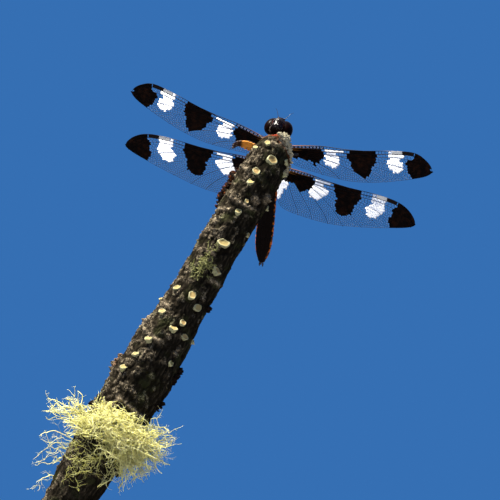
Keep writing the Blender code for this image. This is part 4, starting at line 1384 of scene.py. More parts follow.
def sideShoots(dice, threads, count, lengths, steps, curl, lean, thin):
    # shoots that leave the threads at an angle; each keeps its parent's place on the coat map
    points, radii, spots = threads
    bars, parentSteps = points.shape[:2]
    parent = dice.integers(0, bars, count)
    at = dice.integers(2, parentSteps - 1, count)
    roots = points[parent, at]
    along = points[parent, at] - points[parent, at - 1]
    along /= np.linalg.norm(along, axis=1, keepdims=True) + 1e-9
    aside = np.cross(along, dice.normal(size=(count, 3)))
    aside /= np.linalg.norm(aside, axis=1, keepdims=True) + 1e-9
    headings = along * (1.0 - lean) + aside * lean
    made = wander(dice, roots, headings, dice.uniform(*lengths, count), steps, curl)
    return made, tapered(radii[parent, at] * thin, 0.35, steps), spots[parent]


def coatUv(spots, steps, sides=3, width=0.003):
    # (u, v) of every vertex of the threads: a small patch for each at its root
    u = spots[:, 0, None, None] + width * (np.arange(sides) / (sides - 1) - 0.5)[None, None, :]
    v = spots[:, 1, None, None] + width * (np.arange(steps) / (steps - 1) - 0.5)[None, :, None]
    return np.stack(np.broadcast_arrays(u, v), axis=-1).reshape(-1, 2)


def threadPiece(name, *groups):
    # groups: threads, as (points, widths, spots), and the tone of each
    shapes, maps, tones = [], [], []
    for (points, widths, spots), tone in groups:
        shapes.append(tubes(points, np.maximum(widths, 0.022)))
        maps.append(coatUv(spots, points.shape[1]))
        along = np.linspace(0.0, 1.0, points.shape[1])
        shades = np.stack(np.broadcast_arrays(tone[:, None], along[None]), axis=-1)
        tones.append(np.repeat(shades.reshape(-1, 2), 3, axis=0))
    piece = meshFrom(name, *gather(shapes))
    tones = np.concatenate(tones)
    setTint(piece, np.c_[tones, np.zeros(len(tones))])
    setCoatMap(piece, np.concatenate(maps))
    smooth(piece)
    return piece


def beardPaint():
    paint = Paint("beardLichen", Roughness=0.7, Specular_IOR_Level=0.25, Subsurface_Weight=0.6,
                  Subsurface_Scale=0.25 * mm, Subsurface_Radius=(1.0, 1.0, 0.5))
    lot, along, rest = paint.axes(paint.tint())
    spot = paint.place()
    patch = paint.speckle(spot, 4.0, 2.0)
    grain = paint.speckle(spot, 0.35, 3.0)
    tone = paint.mix(lot ** 0.65, (0.17, 0.17, 0.03), (0.84, 0.78, 0.32))
    tone = paint.mix(along * lot * 0.5, tone, (0.90, 0.82, 0.34))
    tone = paint.mix(paint.step(patch, 0.5, 0.75) * 0.25, tone, (0.20, 0.22, 0.05))
    tone = paint.mix(paint.step(grain, 0.55, 0.75) * 0.25, tone, (0.24, 0.24, 0.07))
    paint.bump(grain, 0.08, 0.6)
    return paint.feed(Base_Color=tone, Roughness=0.6 + grain * 0.3)


def rootsOn(downs, turns):
    return (np.array(part) for part in zip(*(barkSpot(*spot) for spot in zip(downs, turns))))


def layLocks(dice):
    made = []
    for (down, turn), (downSpread, turnSpread), target, spread, winding, count, light in beard["locks"]:
        downs = down + dice.normal(size=count) * downSpread * 0.7
        turns = turn + dice.normal(size=count) * turnSpread * 0.7
        roots, outs = rootsOn(downs, turns)
        ends = np.array((target[0], -target[1], target[2])) + dice.normal(size=(count, 3)) * spread * 0.75
        points = reachOut(dice, roots - outs * 0.3, outs, moved(ends, twig), beard["steps"], winding)
        # paleness, painted shade included, sets the thickness and tone of each thread
        base = beard["thickness"] * dice.uniform(0.5, 1.2, count) * (0.45 + 0.55 * light)
        spots = np.c_[(turns / 360.0) % 1.0, np.clip(downs / 150.0, 0.0, 1.0), np.full(count, light)]
        made.append((points, tapered(base, 0.4, beard["steps"]), spots, dice.random(count) ** 0.6 * light))
    *threads, tones = (np.concatenate(part) for part in zip(*made))
    return threads, tones


def buildBeard():
    dice = np.random.default_rng(21)
    paint = beardPaint()
    threads, tones = layLocks(dice)
    finishPiece(threadPiece("beardThreads", (threads, tones)), paint, "beard_lichen", "perch_beard")

    forks = sideShoots(dice, threads, beard["forks"], (1.2, 4.0), 7, 0.8, 0.55, 0.8)
    # the forks take their lock's paleness, painted shade included
    tones = dice.random(beard["forks"]) ** 0.7 * forks[2][:, 2]
    finishPiece(threadPiece("beardForks", (forks, tones)), paint, "beard_lichen")

    twigs = sideShoots(dice, forks, beard["twigs"], (0.7, 2.2), 5, 0.9, 0.65, 0.85)
    spurs = sideShoots(dice, threads, beard["spurs"], (0.5, 1.4), 4, 0.6, 0.85, 0.6)
    # twigs and spurs likewise take their lock's paleness, painted shade included
    fine = [(made, dice.random(len(made[0])) * made[2][:, 2]) for made in (twigs, spurs)]
    finishPiece(threadPiece("beardSpurs", *fine), paint, "beard_lichen")
    print("beard lichen: %d threads" % sum(len(made[0]) for made in (threads, forks, twigs, spurs)))
    return dice


def buildTuft(dice):
    count = tuft["threads"]
    downs = tuft["down"] + dice.normal(size=count) * 2.2
    turns = dice.normal(size=count) * 8.0 + tuft["turn"]
    roots, outs = rootsOn(downs, turns)
    headings = outs * 0.5 + dice.normal(size=(count, 3)) * 0.8 + np.array(twigUp) * 0.2
    lengths = dice.uniform(*tuft["length"], count)
    points = wander(dice, roots - outs * 0.2, headings, lengths, tuft["steps"], 2.2)
    widths = tapered(np.full(count, tuft["thickness"]), 0.5, tuft["steps"])
    threads = (points, widths, np.c_[(turns / 360.0) % 1.0, downs / 150.0])
    shoots = sideShoots(dice, threads, tuft["shoots"], (0.6, 1.8), 5, 1.2, 0.6, 0.85)
    groups = [(made, dice.random(len(made[0])) * 0.5) for made in (threads, shoots)]
    piece = threadPiece("smallTuft", *groups)
    paint = Paint("tuftLichen", Roughness=0.7)
    grain = paint.speckle(paint.place(), 0.4, 3.0)
    tone = paint.mix(grain, (0.11, 0.12, 0.025), (0.32, 0.31, 0.10))
    finishPiece(piece, paint.feed(Base_Color=tone), "beard_lichen")
    print("small tuft: %d threads" % count)


buildTuft(buildBeard())


# the flake of bark that curls out from the broken rim

flake = {
    "at": (4.6, -2.0, -8.9), "widths": (1.4, 2.0, 2.9, 2.8, 1.8, 1.5), "thick": 0.32,
    "path": ((0.2, 0.0), (1.2, 0.2), (2.6, 0.3), (4.9, -0.1), (7.0, -1.6), (7.8, -4.4)),
}


def buildFlake():
    path = flatCurve(flake["path"], 8)
    rows, stations = len(path), len(flake["widths"])
    widths = np.interp(np.linspace(0, stations - 1, rows), range(stations), flake["widths"])
    bpy.ops.mesh.primitive_grid_add(x_subdivisions=14, y_subdivisions=rows - 1, size=1.0)
    piece = bpy.context.object
    piece.name = "barkFlake"
    flat = np.array([v.co for v in piece.data.vertices])
    row = np.clip(np.round((flat[:, 1] + 0.5) * (rows - 1)).astype(int), 0, rows - 1)
    side = flat[:, 0]
    share = row / (rows - 1)
    ragged = 1.0 + 0.12 * np.sin(row * 1.9 + np.sign(side) * 2.0) + 0.08 * np.sin(row * 4.3)
    out, rise = path[row, 0], path[row, 1]
    bow = 0.35 * (0.25 - side ** 2) * 4.0 - 0.25 * np.sin(share * 9.0 + side * 5.0) * share
    out = out + 0.25 * np.sin(side * 14.0) * (share > 0.9)
    places = np.c_[side * widths[row] * ragged + 0.25 * out, -out, rise + bow] + flake["at"]
    writePoints(piece, places, insect)
    setTint(piece, np.c_[share, np.abs(side) * 2.0, np.zeros(len(side))])
    faceOut(piece)
    applyModifier(piece, "SOLIDIFY", thickness=flake["thick"] * mm, offset=0.0)
    applyModifier(piece, "BEVEL", width=0.08 * mm, segments=2, limit_method="ANGLE")
    smooth(piece, 60.0)
    finishPiece(piece, flakePaint(), "bark_flake", "perch_flake")


def flakePaint():
    paint = Paint("barkFlake", Roughness=0.5, Specular_IOR_Level=0.15)
    along, edge, rest = paint.axes(paint.tint())
    fibre = paint.speckle(paint.place(insect, (0.35, 2.0, 0.6)), 0.7, 4.0, 0.6)
    spots = paint.cells(paint.place(insect), 1.1)
    tone = paint.mix(fibre, (0.50, 0.15, 0.018), (0.86, 0.38, 0.06))
    tone = paint.mix(paint.step(spots, 0.12, 0.22, 0.85, 0.0), tone, (0.09, 0.03, 0.012))
    dark = paint.mix(fibre, (0.012, 0.007, 0.005), (0.07, 0.03, 0.018))
    tone = paint.mix(paint.step(along, 0.66, 0.76), tone, dark)
    lit = paint.band(edge, 0.34, 0.5, 0.06) * paint.step(along, 0.82, 0.88)
    tone = paint.mix(lit, tone, (0.42, 0.34, 0.30))
    paint.bump(fibre, 0.12, 0.7)
    return paint.feed(Base_Color=tone, Roughness=0.35 + fibre * 0.35)


buildFlake()
print("flake bent out")


# body: head, thorax and abdomen under one skin

# stations: x, full width, height above and depth below
thorax = {
    "stations": ((4.7, 3.6, 2, 2.5), (4.2, 5.3, 3.4, 3.7), (2.8, 6.8, 4.5, 4.4), (0.5, 7.4, 4.9, 4.7),
                 (-2, 7.5, 4.9, 4.6), (-4.5, 7.1, 4.4, 4.1), (-6.4, 6.2, 3.4, 3.1), (-7.2, 5.2, 2.6, 2.4),
                 (-7.9, 4.4, 2, 1.9)),
    "slant": 0.22, "coat": 0.12,
    "collar": ((4.4, 2.8, 1.5, 1.7), (4.75, 3, 1.7, 1.9), (5.1, 3.9, 2.3, 2.4), (5.7, 3.7, 2, 2.3),
               (6.1, 2.4, 1.2, 1.5), (6.8, 1.8, 0.9, 0.9), (7.8, 1.9, 0.9, 0.9)),
}
abdomen = {
    "start": -7.6, "rise": 1.2, "swing": 1.5,
    # each segment's length, and its width, height above and depth below at its rear
    "segments": ((1.5, 4.7, 2.5, 2.1), (2.4, 4.9, 2.5, 2.1), (4.3, 4.9, 2.1, 1.8), (4.4, 5.2, 2.0, 1.7),
                 (4.4, 5.5, 2.0, 1.65), (4.3, 5.6, 1.95, 1.6), (4.1, 5.2, 1.75, 1.5), (3.0, 4.1, 1.45, 1.25),
                 (1.8, 2.7, 1.15, 1.0), (1.1, 1.9, 0.9, 0.75)),
}
# balls: middle and half sizes, from the middle of the head
head = {
    "at": (9.3, 0.0, 0.3), "eye": (2.55, 2.35, 3.3), "spread": 2.02, "tilt": 13.0,
    # face, mouth and back; brow, lip, two lobes below it, and the crown between the eyes
    "balls": (((1.75, 0.0, -0.85), (1.85, 2.15, 2.45)), ((0.75, 0.0, -2.75), (2.2, 2.3, 1.35)),
              ((-1.55, 0.0, -0.2), (1.05, 3.3, 2.9)), ((2.2, 0.0, 0.75), (1.25, 1.55, 1.0)),
              ((1.2, 0.0, 1.75), (1.2, 1.05, 1.05)), ((2.55, 0.0, -1.5), (1.0, 1.75, 0.9)),
              ((1.7, 0.0, -2.75), (1.2, 1.7, 0.9)), ((0.7, 0.95, -3.15), (1.7, 1.15, 0.95)),
              ((0.7, -0.95, -3.15), (1.7, 1.15, 0.95)), ((0.0, 0.0, 0.0), (1.6, 1.2, 2.0)),
              ((-1.2, 0.0, 0.2), (1.0, 1.3, 2.4))),
    "ocelli": (((2.35, 0.0, 2.25), 0.3), ((1.95, 0.72, 2.45), 0.27), ((1.95, -0.72, 2.45), 0.27)),
}
# mounds: place, size, and their stretch along, across and up
mounds = {
    "hips": (((4.0, 1.3, -3.0, 1.15), (2.6, 1.8, -3.4, 1.35), (0.6, 1.9, -3.6, 1.5)), (1.0, 1.0, 1.1)),
    "hinges": (((2.1, 2.9, 3.7, 1.2), (0.3, 2.9, 3.9, 1.1), (-5.4, 2.8, 3.2, 1.1), (-7.0, 2.4, 2.5, 0.9)),
               (1.2, 0.8, 0.7)),
    "back": (((0.2, 0.0, 4.2, 1.25), (-3.2, 0.0, 4.3, 1.3), (-5.9, 0.0, 3.2, 1.0)), (1.2, 1.0, 0.75)),
}
skin = {"voxel": 0.13, "suture": 0.12}


def loft(stations, sides, squareness, slant=0.0, shrink=0.0, fine=5):
    # a rounded-box body through stations of x, full width, height above and depth below
    x, width, above, below = (easedValues(column, fine) for column in zip(*stations))
    angles = math.tau * (np.arange(sides) + 0.5) / sides
    c, s = np.cos(angles), np.sin(angles)
    power = 2.0 / squareness
    y = (0.5 * width - shrink)[:, None] * np.sign(c) * np.abs(c) ** power
    height = np.where(s > 0, (above - shrink)[:, None], (below - shrink)[:, None])
    z = height * np.sign(s) * np.abs(s) ** power
    rings = np.stack((x[:, None] - slant * z, y, z), axis=-1)
    count = len(x)
    index = np.arange(count * sides).reshape(count, sides)
    following = np.roll(index, -1, axis=1)
    walls = np.stack((index[:-1], following[:-1], following[1:], index[1:]), axis=-1).reshape(-1, 4)
    verts = rings.reshape(-1, 3)
    middles = rings[[0, -1]].mean(axis=1)
    total = count * sides
    fans = [np.stack((index[0], following[0], np.full(sides, total)), axis=-1)[:, ::-1],
            np.stack((index[-1], following[-1], np.full(sides, total + 1)), axis=-1)]
    return np.concatenate((verts, middles)), [walls, np.concatenate(fans)]


def ball(centre, radii, turn=None, segments=40, rings=24):
    place = insect @ (Matrix.Translation(centre) @ (turn or Matrix.Identity(4)))
    bpy.ops.mesh.primitive_uv_sphere_add(segments=segments, ring_count=rings, radius=1.0)
    piece = bpy.context.object
    piece.data.transform(place @ Matrix.Diagonal((*radii, 1.0)))
    piece.data.transform(Matrix.Scale(mm, 4))
    return piece


def abdomenMatrix():
    turn = Matrix.Rotation(math.radians(abdomen["rise"]), 4, "Y")
    turn = Matrix.Rotation(math.radians(-abdomen["swing"]), 4, "Z") @ turn
    return Matrix.Translation((abdomen["start"], 0.0, 0.1)) @ turn


def buildSkin():
    coat = thorax["coat"]
    rings = ((2.0, 4.4, 2.2, 1.9), (0.0, 4.5, 2.35, 1.95)) + abdomenStations()
    tail = insect @ abdomenMatrix()
    parts = [meshFrom("thoraxForm", *loft(thorax["stations"], 72, 2.4, thorax["slant"], coat), insect),
             meshFrom("collarForm", *loft(thorax["collar"], 48, 2.3, 0.0, coat * 0.5), insect),
             meshFrom("abdomenForm", *loft(rings, 64, 2.1, 0.0, 0.03, 1), tail)]
    parts += [ball(Vector(head["at"]) + Vector(centre), radii) for centre, radii in head["balls"]]
    for places, stretch in mounds.values():
        for x, y, z, size in places:
            for name, side in bothSides[:2 if y else 1]:
                parts.append(ball((x, y * side, z), [size * part for part in stretch], None, 24, 14))
    piece = joinPieces("bodySkin", parts)
    applyModifier(piece, "REMESH", mode="VOXEL", voxel_size=skin["voxel"] * mm)
    applyModifier(piece, "SMOOTH", factor=0.5, iterations=3)
    carveSkin(piece)
    smooth(piece)
    return piece


def abdomenStations():
    # each segment swells a little and overlaps the next, with a narrow furrow between
    stations, x = [], 0.0
    before = (4.4, 2.4, 2.0)
    for length, *rear in abdomen["segments"]:
        for share, swell in ((0.02, 0.955), (0.07, 0.985), (0.2, 1.0), (0.4, 1.008), (0.6, 1.01),
                             (0.8, 1.01), (0.93, 1.008), (0.985, 0.995)):
            size = [(a + (b - a) * share) * swell for a, b in zip(before, rear)]
            stations.append((x - length * share, *size))
        before = rear
        x -= length
    stations.append((x - 0.1, before[0] * 0.7, before[1] * 0.7, before[2] * 0.7))
    return tuple(stations)


def dent(offset, width):
    # 1 on the line where offset is 0, fading within about its width
    return np.exp(-(offset / width) ** 2)


def carveSkin(piece):
    points = readPoints(piece, insect)
    normals = readNormals(piece, insect)
    x, y, z = points.T
    lift = np.zeros(len(points))
    onThorax = ramped(x, -7.6, -7.0) * ramped(x, 4.9, 4.6)
    slanted = x + thorax["slant"] * z
    lower = slanted + 0.18 * z
    sides = ramped(np.abs(y), 2.2, 3.0)
    for middle, width in ((2.9, 0.22), (0.3, 0.2), (-2.6, 0.22)):
        wave = lower - middle - 0.15 * np.sin(z * 1.3)
        lift -= skin["suture"] * 1.3 * dent(wave, width) * sides * onThorax
    # ridge down the front of the thorax, and the furrow behind the collar
    chest = ramped(z, 0.5, 1.5) * ramped(x, 2.6, 3.4) * onThorax
    lift += 0.22 * dent(y, 0.2) * chest - 0.12 * dent(np.abs(y) - 0.55, 0.25) * chest
    # plates of the underside
    lift -= skin["suture"] * dent(y, 0.16) * ramped(-z, 2.6, 3.4) * onThorax

    ax, ay, az = moved(points, abdomenMatrix().inverted()).T
    onAbdomen = ramped(-ax, 0.6, 1.2)
    edges = -np.cumsum([segment[0] for segment in abdomen["segments"]])
    half = np.interp(-ax, -edges, [segment[1] / 2.0 for segment in abdomen["segments"]])
    # keels: one down the back, one along each side, and the folded belly plates
    lift += 0.14 * dent(ay, 0.14) * (az > 0.8) * onAbdomen
    lift += 0.16 * dent(az - 0.05, 0.13) * (np.abs(ay) > half * 0.8) * onAbdomen
    lift -= 0.16 * dent(np.abs(ay) - 0.3 * half, 0.13) * (az < -0.6) * onAbdomen
    lift -= 0.10 * dent(ay, 0.12) * (az < -0.8) * onAbdomen
    for edge in edges[:-1]:
        lift -= 0.09 * dent(ax - edge, 0.09) * onAbdomen
    for start, stop in zip(edges[1:7], edges[2:8]):
        lift -= 0.05 * dent(ax - start - (stop - start) * 0.12, 0.12) * (az > 0.0)

    # face: furrows between brow, face and lip, and down the middle of the jaws and the brow
    onHead = ramped(x, 8.2, 8.8)
    hx, hz = x - head["at"][0], z - head["at"][2]
    for middle, depth in ((-0.05, 0.16), (-1.05, 0.12), (-1.95, 0.14), (-2.35, 0.1)):
        lift -= depth * dent(hz - middle - 0.12 * y * y, 0.13) * onHead * (hx > 1.2)
    lift -= 0.14 * dent(y, 0.12) * onHead * (hz < -2.5)
    lift -= 0.14 * dent(y, 0.16) * onHead * (hz > 0.3) * (hx > 1.4)
    lift += 0.035 * noiseAt(points, 0.7, 2, 7.0)
    points += normals * lift[:, None]
    writePoints(piece, points, insect)


def chestTone(paint, spot, grain, broad):
    # brown and hairy, with two pale stripes on each side
    x, y, z = paint.axes(spot)
    slanted = x + z * 0.4 + (paint.speckle(spot, 1.6, 2.0) * 0.7 - 0.35)
    chest = paint.mix(grain, (0.030, 0.015, 0.008), (0.085, 0.045, 0.022))
    chest = paint.mix(broad * 0.5, chest, (0.13, 0.085, 0.045))
    stripes = paint.band(slanted, 1.2, 2.1, 0.25) + paint.band(slanted, -2.6, -1.6, 0.25)
    stripes = stripes * paint.step(abs(y), 2.4, 3.0) * (0.35 + paint.step(z, 2.2, 0.4) * 0.55)
    chest = paint.mix(stripes, chest, (0.52, 0.42, 0.17))
    chest = paint.mix(paint.step(z, 3.4, 4.2) * 0.6, chest, (0.12, 0.075, 0.045))
    below = paint.mix(grain, (0.018, 0.010, 0.007), (0.05, 0.03, 0.02))
    return paint.mix(paint.step(z, -2.4, -3.4) * 0.8, chest, below)


def abdomenTone(paint, tail, grain, broad):
    # bloom on its back, orange marks along its sides, near black below
    ax, ay, az = paint.axes(tail)
    bloom = paint.mix(paint.speckle(tail, 0.9, 3.0), (0.15, 0.16, 0.18), (0.36, 0.38, 0.42))
    back = paint.mix(grain, (0.035, 0.02, 0.012), (0.08, 0.045, 0.028))
    dusted = paint.step(az, 0.25, 1.0) * paint.step(ax, -3.0, -6.5) * (0.55 + broad * 0.6)
    belly = paint.mix(grain, (0.002, 0.0015, 0.0015), (0.006, 0.003, 0.0025))
    tone = paint.mix(paint.step(az, 0.1, -0.5), paint.mix(dusted, back, bloom), belly)
    marks = paint.band(az, -0.66, 0.35, 0.12) * paint.step(abs(ay), 0.9, 1.4) * segmentDashes(paint, ax)
    broken = paint.step(paint.speckle(tail, 0.8, 3.0), 0.45, 0.56)
    orange = paint.mix(grain, (0.34, 0.05, 0.004), (0.72, 0.20, 0.016))
    return paint.mix(marks * broken * 0.9, tone, orange)


def faceTone(paint, spot, grain):
    # dark chocolate, redder along the furrows
    x, y, z = paint.axes(spot)
    face = paint.mix(grain, (0.002, 0.0008, 0.0007), (0.006, 0.002, 0.0013))
    red = paint.step(abs(y), 1.35, 1.9) * paint.step(z, -2.6, -1.6)
    face = paint.mix(red * 0.8, face, (0.06, 0.010, 0.004))
    face = paint.mix(paint.step(z, 1.0, 2.4) * 0.85, face, (0.006, 0.004, 0.006))
    return paint.mix(paint.step(x, 8.9, 8.2) * 0.8, face, (0.016, 0.009, 0.007))


def skinPaint():
    paint = Paint("bodySkin", Roughness=0.45, Specular_IOR_Level=0.02, Coat_Roughness=0.2)
    spot, tail = paint.place(insect), paint.place(insect @ abdomenMatrix())
    x, az = paint.axes(spot)[0], paint.axes(tail)[2]
    broad = paint.speckle(spot, 2.6, 3.0)
    grain = paint.speckle(spot, 0.3, 4.0, 0.6)
    rear = abdomenTone(paint, tail, grain, broad)
    tone = paint.mix(paint.step(x, -7.55, -7.85), chestTone(paint, spot, grain, broad), rear)
    tone = paint.mix(paint.step(x, 6.3, 7.2), tone, faceTone(paint, spot, grain))
    gloss = paint.step(x, 6.5, 8.5)
    pores = grain * 0.5 + paint.speckle(spot, 0.09, 2.0) * 0.5
    paint.bump(pores * (1.0 - gloss * 0.75), 0.06, 0.7)
    rough = 0.62 - gloss * 0.2 + grain * 0.12 - paint.step(az, 0.2, -0.6) * 0.12
    return paint.feed(Base_Color=tone, Roughness=rough,
                      Coat_Weight=paint.step(x, 10.8, 11.8) * (0.1 + broad * 0.4))


def segmentDashes(paint, along):
    # one mark for each of segments 2 to 9, clear of the joints
    total, at = None, 0.0
    for number, (length, *rest) in enumerate(abdomen["segments"], start=1):
        if 2 <= number <= 9:
            dash = paint.band(along, at - length * 0.9, at - length * 0.12, 0.18)
            total = dash if total is None else total + dash
        at -= length
    return total


flesh = ["thorax", "prothorax", "neck", "face", "mouth", "head"] + ["abdomen_%d" % n for n in range(1, 11)]
bodySkin = finishPiece(buildSkin(), skinPaint(), "thorax", *flesh)
print("body skin: %d faces" % len(bodySkin.data.polygons))


# eyes, ocelli and feelers

def eyePaint():
    paint = Paint("eye", Roughness=0.42, Coat_Roughness=0.12, Specular_IOR_Level=0.015)
    spot = paint.place(insect)
    z = paint.axes(spot)[2]
    cloud = paint.speckle(spot, 1.3, 2.0)
    rise = paint.step(z + cloud * 1.2, -1.6, 2.0)
    tone = paint.mix(rise, (0.0045, 0.0009, 0.0007), (0.0025, 0.0008, 0.0007))
    tone = paint.mix(paint.step(z, -0.4, -2.6) * 0.5, tone, (0.005, 0.002, 0.0015))
    facets = paint.cells(spot, 0.075, "DISTANCE_TO_EDGE")
    tone = paint.mix(paint.step(facets, 0.10, 0.0) * 0.4, tone, (0.002, 0.001, 0.001))
    paint.bump(paint.step(facets, 0.0, 0.35), 0.005, 0.2)
    return paint.feed(Base_Color=tone, Coat_Weight=0.015 + cloud * 0.02)


def buildEyes():
    paint = eyePaint()
    for name, side in bothSides:
        turn = Matrix.Rotation(math.radians(head["tilt"]) * side, 4, "X")
        centre = Vector(head["at"]) + Vector((0.0, head["spread"] * side, 0.25))
        piece = ball(centre, head["eye"], turn, 96, 56)
        piece.name = "eyeball_" + name
        # cut flat where the eyes meet, a tenth of a millimetre short of the middle
        cut = insect @ Vector((0.0, side * 0.1, 0.0)) * mm
        away = insect.to_3x3() @ Vector((0.0, -side, 0.0))
        editMesh(piece, lambda: bpy.ops.mesh.bisect(plane_co=cut, plane_no=away, clear_outer=True,
                                                    use_fill=True))
        smooth(piece, 40.0)
        finishPiece(piece, paint, "eye", "eye_" + name)


def buildOcelli():
    glass = Paint("ocellus", Roughness=0.08)
    spark = glass.speckle(glass.place(insect), 0.4)
    tone = glass.mix(spark, (0.10, 0.05, 0.02), (0.16, 0.09, 0.035))
    hub = Vector(head["at"])
    parts = [ball(hub + Vector(at), [size] * 3, None, 20, 12) for at, size in head["ocelli"]]
    piece = joinPieces("ocelli", parts)
    smooth(piece)
    finishPiece(piece, glass.feed(Base_Color=tone), "eye")


feeler = {"root": (2.65, 0.85, 1.55), "reach": (1.8, 2.1, 2.5)}


def hornPaint():
    paint = Paint("blackHorn", Roughness=0.35, Specular_IOR_Level=0.25)
    grain = paint.speckle(paint.place(insect), 0.25, 3.0)
    paint.bump(grain, 0.03, 0.5)
    return paint.feed(Base_Color=paint.mix(grain, (0.006, 0.004, 0.0035), (0.026, 0.015, 0.010)),
                      Roughness=0.28 + grain * 0.2)


def buildFeelers(paint):
    for name, side in bothSides:
        mirror = Vector((1.0, side, 1.0))
        root = Vector(head["at"]) + Vector(feeler["root"]) * mirror
        reach = Vector(feeler["reach"]) * mirror
        bend = Vector((0.12, -0.1 * side, 0.22))
        course = [root - reach * 0.08, root + reach * 0.05, root + reach * 0.14, root + reach * 0.2,
                  root + reach * 0.4 + bend * 0.6, root + reach * 0.7 + bend, root + reach]
        points = np.array(curveThrough(course, 6))
        radii = np.interp(np.linspace(0.0, 1.0, len(points)), (0.0, 0.16, 0.2, 0.34, 0.38, 0.7, 1.0),
                          (0.24, 0.24, 0.16, 0.17, 0.085, 0.06, 0.03))
        piece = meshFrom("feeler_" + name, *tubes([points], [radii], 8), insect)
        smooth(piece)
        finishPiece(piece, paint, "limb", "antenna_" + name)


horn = hornPaint()
buildEyes()
buildOcelli()
buildFeelers(horn)


# legs and tail claspers

legs = {
    "fore": {"hip": (4.3, 1.2, -3.4), "ankle": (7.9, 2.4, -7.0), "knee": (0.35, 0.85, 0.3),
             "femur": 4.6, "tibia": 4.4, "toe": (1.3, 0.75, -0.05)},
    "mid": {"hip": (2.9, 1.7, -3.6), "ankle": (4.3, 4.3, -7.0), "knee": (0.0, 0.75, 0.65),
            "femur": 6.2, "tibia": 5.4, "toe": (0.1, 1.6, -0.05)},
    "hind": {"hip": (0.9, 1.8, -3.7), "ankle": (-1.3, 3.5, -7.0), "knee": (-0.9, 0.45, 0.25),
             "femur": 7.4, "tibia": 6.4, "toe": (-0.9, 1.5, -0.05)},
}
legLook = {
    "sidestep": 1.2, "shinSpines": 11, "shinSpine": 0.95, "thighSpines": 9, "thighSpine": 0.62,
    # bars along the bones, 0 thigh, 1 shin, 2 foot: which bone, how far along it, and radius
    "bars": (((0, -0.03, 0.7), (0, 0.1, 0.78), (0, 0.17, 0.5)),
             ((0, 0.15, 0.4), (0, 0.19, 0.52), (0, 0.25, 0.36)),
             ((0, 0.23, 0.36), (0, 0.34, 0.47), (0, 0.7, 0.4), (0, 0.95, 0.33),
              (1, 0, 0.34), (1, 0.02, 0.24)),
             ((1, -0.01, 0.26), (1, 0.04, 0.28), (1, 0.12, 0.2), (1, 0.6, 0.18),
              (1, 0.94, 0.2), (2, 0, 0.17))),
    # foot joints: start, end and size
    "foot": ((0.0, 0.2, 0.15), (0.2, 0.5, 0.13), (0.5, 1.0, 0.125)),
}


def kneePoint(hip, ankle, femur, tibia, hint):
    line = ankle - hip
    reach = min(line.length, 0.98 * (femur + tibia))
    along = (femur ** 2 - tibia ** 2 + reach ** 2) / (2 * reach)
    height = math.sqrt(max(femur ** 2 - along ** 2, 0.01))
    line.normalize()
    bend = (hint - line * hint.dot(line)).normalized()
    return hip + line * along + bend * height


def bar(stops, sides=10):
    # stops: (point, radius) pairs joined by a round bar with eased thickness
    points = curveThrough([point for point, radius in stops], 5)
    radii = easedValues([radius for point, radius in stops], 5)
    return tubes([points], [np.maximum(radii, 0.02)], sides)


def spine(root, tip, radii):
    return tubes([[root, root.lerp(tip, 0.5), tip]], [radii], 4)


def legShapes(hip, knee, ankle, toe):
    thigh, shin, foot = knee - hip, ankle - knee, toe - ankle
    bones = ((hip, thigh), (knee, shin), (ankle, foot))
    shapes = []
    for stops in legLook["bars"]:
        shapes.append(bar([(bones[n][0] + bones[n][1] * share, radius) for n, share, radius in stops]))
    for start, stop, size in legLook["foot"]:
        shapes.append(bar([(ankle + foot * share, size * swell) for share, swell in (
            (start + 0.01, 0.75), ((start + stop) * 0.5, 0.95), (stop - 0.02, 1.15), (stop, 0.8))]))

    # two claws, then two rows of spines along shin and thigh
    across = foot.cross(shin).normalized()
    for lean in (1, -1):
        tip = toe + foot.normalized() * 0.42 + across * 0.3 * lean - shin.normalized() * 0.02
        middle = toe + foot * 0.12 + across * 0.16 * lean
        shapes.append(bar(((toe - foot * 0.03, 0.09), (middle, 0.07), (tip, 0.025)), 6))
    bent = thigh.cross(shin).normalized()
    inward = bent.cross(shin).normalized()
    below = bent.cross(thigh).normalized()
    for row in (1, -1):
        for number in range(legLook["shinSpines"]):
            share = 0.1 + 0.82 * number / (legLook["shinSpines"] - 1)
            root = knee + shin * share
            size = legLook["shinSpine"] * (1.0 - 0.35 * share) * (0.9 + 0.2 * ((number * 7 + row) % 3) / 3.0)
            tip = root + (bent * 0.75 * row - inward * 0.55).normalized() * size
            shapes.append(spine(root, tip + shin.normalized() * size * 0.55, [0.055, 0.04, 0.012]))
        for number in range(legLook["thighSpines"]):
            root = hip + thigh * (0.32 + 0.6 * number / (legLook["thighSpines"] - 1))
            tip = root + (bent * 0.8 * row + below * 0.5).normalized() * legLook["thighSpine"]
            shapes.append(spine(root, tip + thigh.normalized() * 0.25, [0.05, 0.035, 0.012]))
    return shapes


def buildLegs(paint):
    for sideName, side in bothSides:
        mirror = Vector((1.0, side, 1.0))
        for pair, leg in legs.items():
            hip = Vector(leg["hip"]) * mirror
            ankle = Vector(leg["ankle"]) * mirror + Vector((0.0, legLook["sidestep"], 0.0))
            knee = kneePoint(hip, ankle, leg["femur"], leg["tibia"], Vector(leg["knee"]) * mirror)
            shapes = legShapes(hip, knee, ankle, ankle + Vector(leg["toe"]) * mirror)
            piece = meshFrom("limb_%s_%s" % (pair, sideName), *gather(shapes), insect)
            smooth(piece, 60.0)
            finishPiece(piece, paint, "limb", "leg_%s_%s" % (pair, sideName))


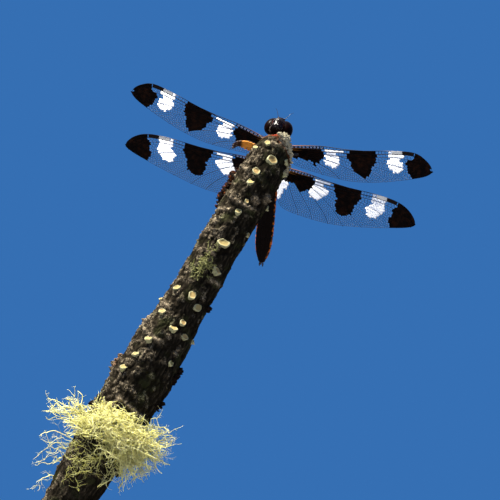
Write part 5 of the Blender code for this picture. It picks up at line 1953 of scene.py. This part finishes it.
def buildClaspers(paint):
    # courses: how far behind the last segment, aside and up, and radius
    end = -sum(segment[0] for segment in abdomen["segments"])
    clasper = ((0.25, 0.42, 0.15, 0.28), (-0.3, 0.47, 0.16, 0.2), (-1.0, 0.56, 0.22, 0.25),
               (-1.6, 0.55, 0.12, 0.2), (-2.0, 0.5, 0.02, 0.05))
    plate = ((0.2, 0.0, -0.2, 0.35), (-0.5, 0.0, -0.22, 0.33), (-1.1, 0.0, -0.1, 0.2),
             (-1.35, 0.0, -0.02, 0.08))
    for name, side, course, node in (("clasper_left", 1, clasper, ["cercus_left"]),
                                     ("clasper_right", -1, clasper, ["cercus_right"]),
                                     ("tailPlate", 1, plate, [])):
        stops = [(Vector((end + x, y * side, z)), radius) for x, y, z, radius in course]
        piece = meshFrom(name, *bar(stops, 12), insect @ abdomenMatrix())
        smooth(piece)
        finishPiece(piece, paint, "limb", *node)


buildLegs(horn)
buildClaspers(horn)
print("head fittings, legs and claspers done")


# hair on the thorax and the first rings of the abdomen, sparser on top, and shorter and sparser on the face

hair = {"count": 5200, "length": (0.35, 0.85), "root": 0.026, "steps": 5, "curl": 0.7}


def buildHair():
    dice = np.random.default_rng(33)
    points = readPoints(bodySkin, insect)
    normals = readNormals(bodySkin, insect)
    x, y, z = points.T
    onThorax = (x > -7.3) & (x < 6.2)
    onFace = (x > 8.4) & (z < 2.2)
    firstRings = (x <= -7.3) & (x > -11.5)
    weight = (onThorax + onFace * 0.45 + firstRings * 0.5) * np.where(z > 3.6, 0.6, 1.0)
    chosen = dice.choice(len(points), hair["count"], replace=False, p=weight / weight.sum())
    roots, outs = points[chosen], normals[chosen]
    headings = outs * 0.85 + (-0.55, 0.0, -0.15) + dice.normal(size=roots.shape) * 0.22
    lengths = dice.uniform(*hair["length"], len(roots)) * np.where(roots[:, 0] > 8.0, 0.45, 1.0)
    made = moved(wander(dice, roots - outs * 0.03, headings, lengths, hair["steps"], hair["curl"]), insect)
    widths = tapered(np.full(len(roots), hair["root"]), 0.3, hair["steps"])
    piece = meshFrom("thoraxHair", *tubes(made, np.maximum(widths, 0.008)))
    tones = np.repeat(dice.random(len(roots)), hair["steps"] * 3)
    setTint(piece, np.c_[tones, tones, tones])
    spots = np.c_[np.arctan2(roots[:, 1], roots[:, 2]) / math.tau + 0.5, (roots[:, 0] + 40.0) / 55.0]
    setCoatMap(piece, coatUv(spots, hair["steps"]))
    smooth(piece)
    finishPiece(piece, hairPaint(), "thorax")


def hairPaint():
    paint = Paint("thoraxHair", Roughness=0.55)
    lot = paint.axes(paint.tint())[0]
    spot = paint.place(insect)
    broad = paint.speckle(spot, 2.2)
    ahead = paint.step(paint.axes(spot)[0], 7.5, 8.5)
    tone = paint.mix(lot * (1.0 - ahead * 0.85), (0.040, 0.022, 0.012), (0.34, 0.25, 0.15))
    return paint.feed(Base_Color=paint.mix(broad * 0.4, tone, (0.09, 0.055, 0.03)))


buildHair()
print("hair laid")
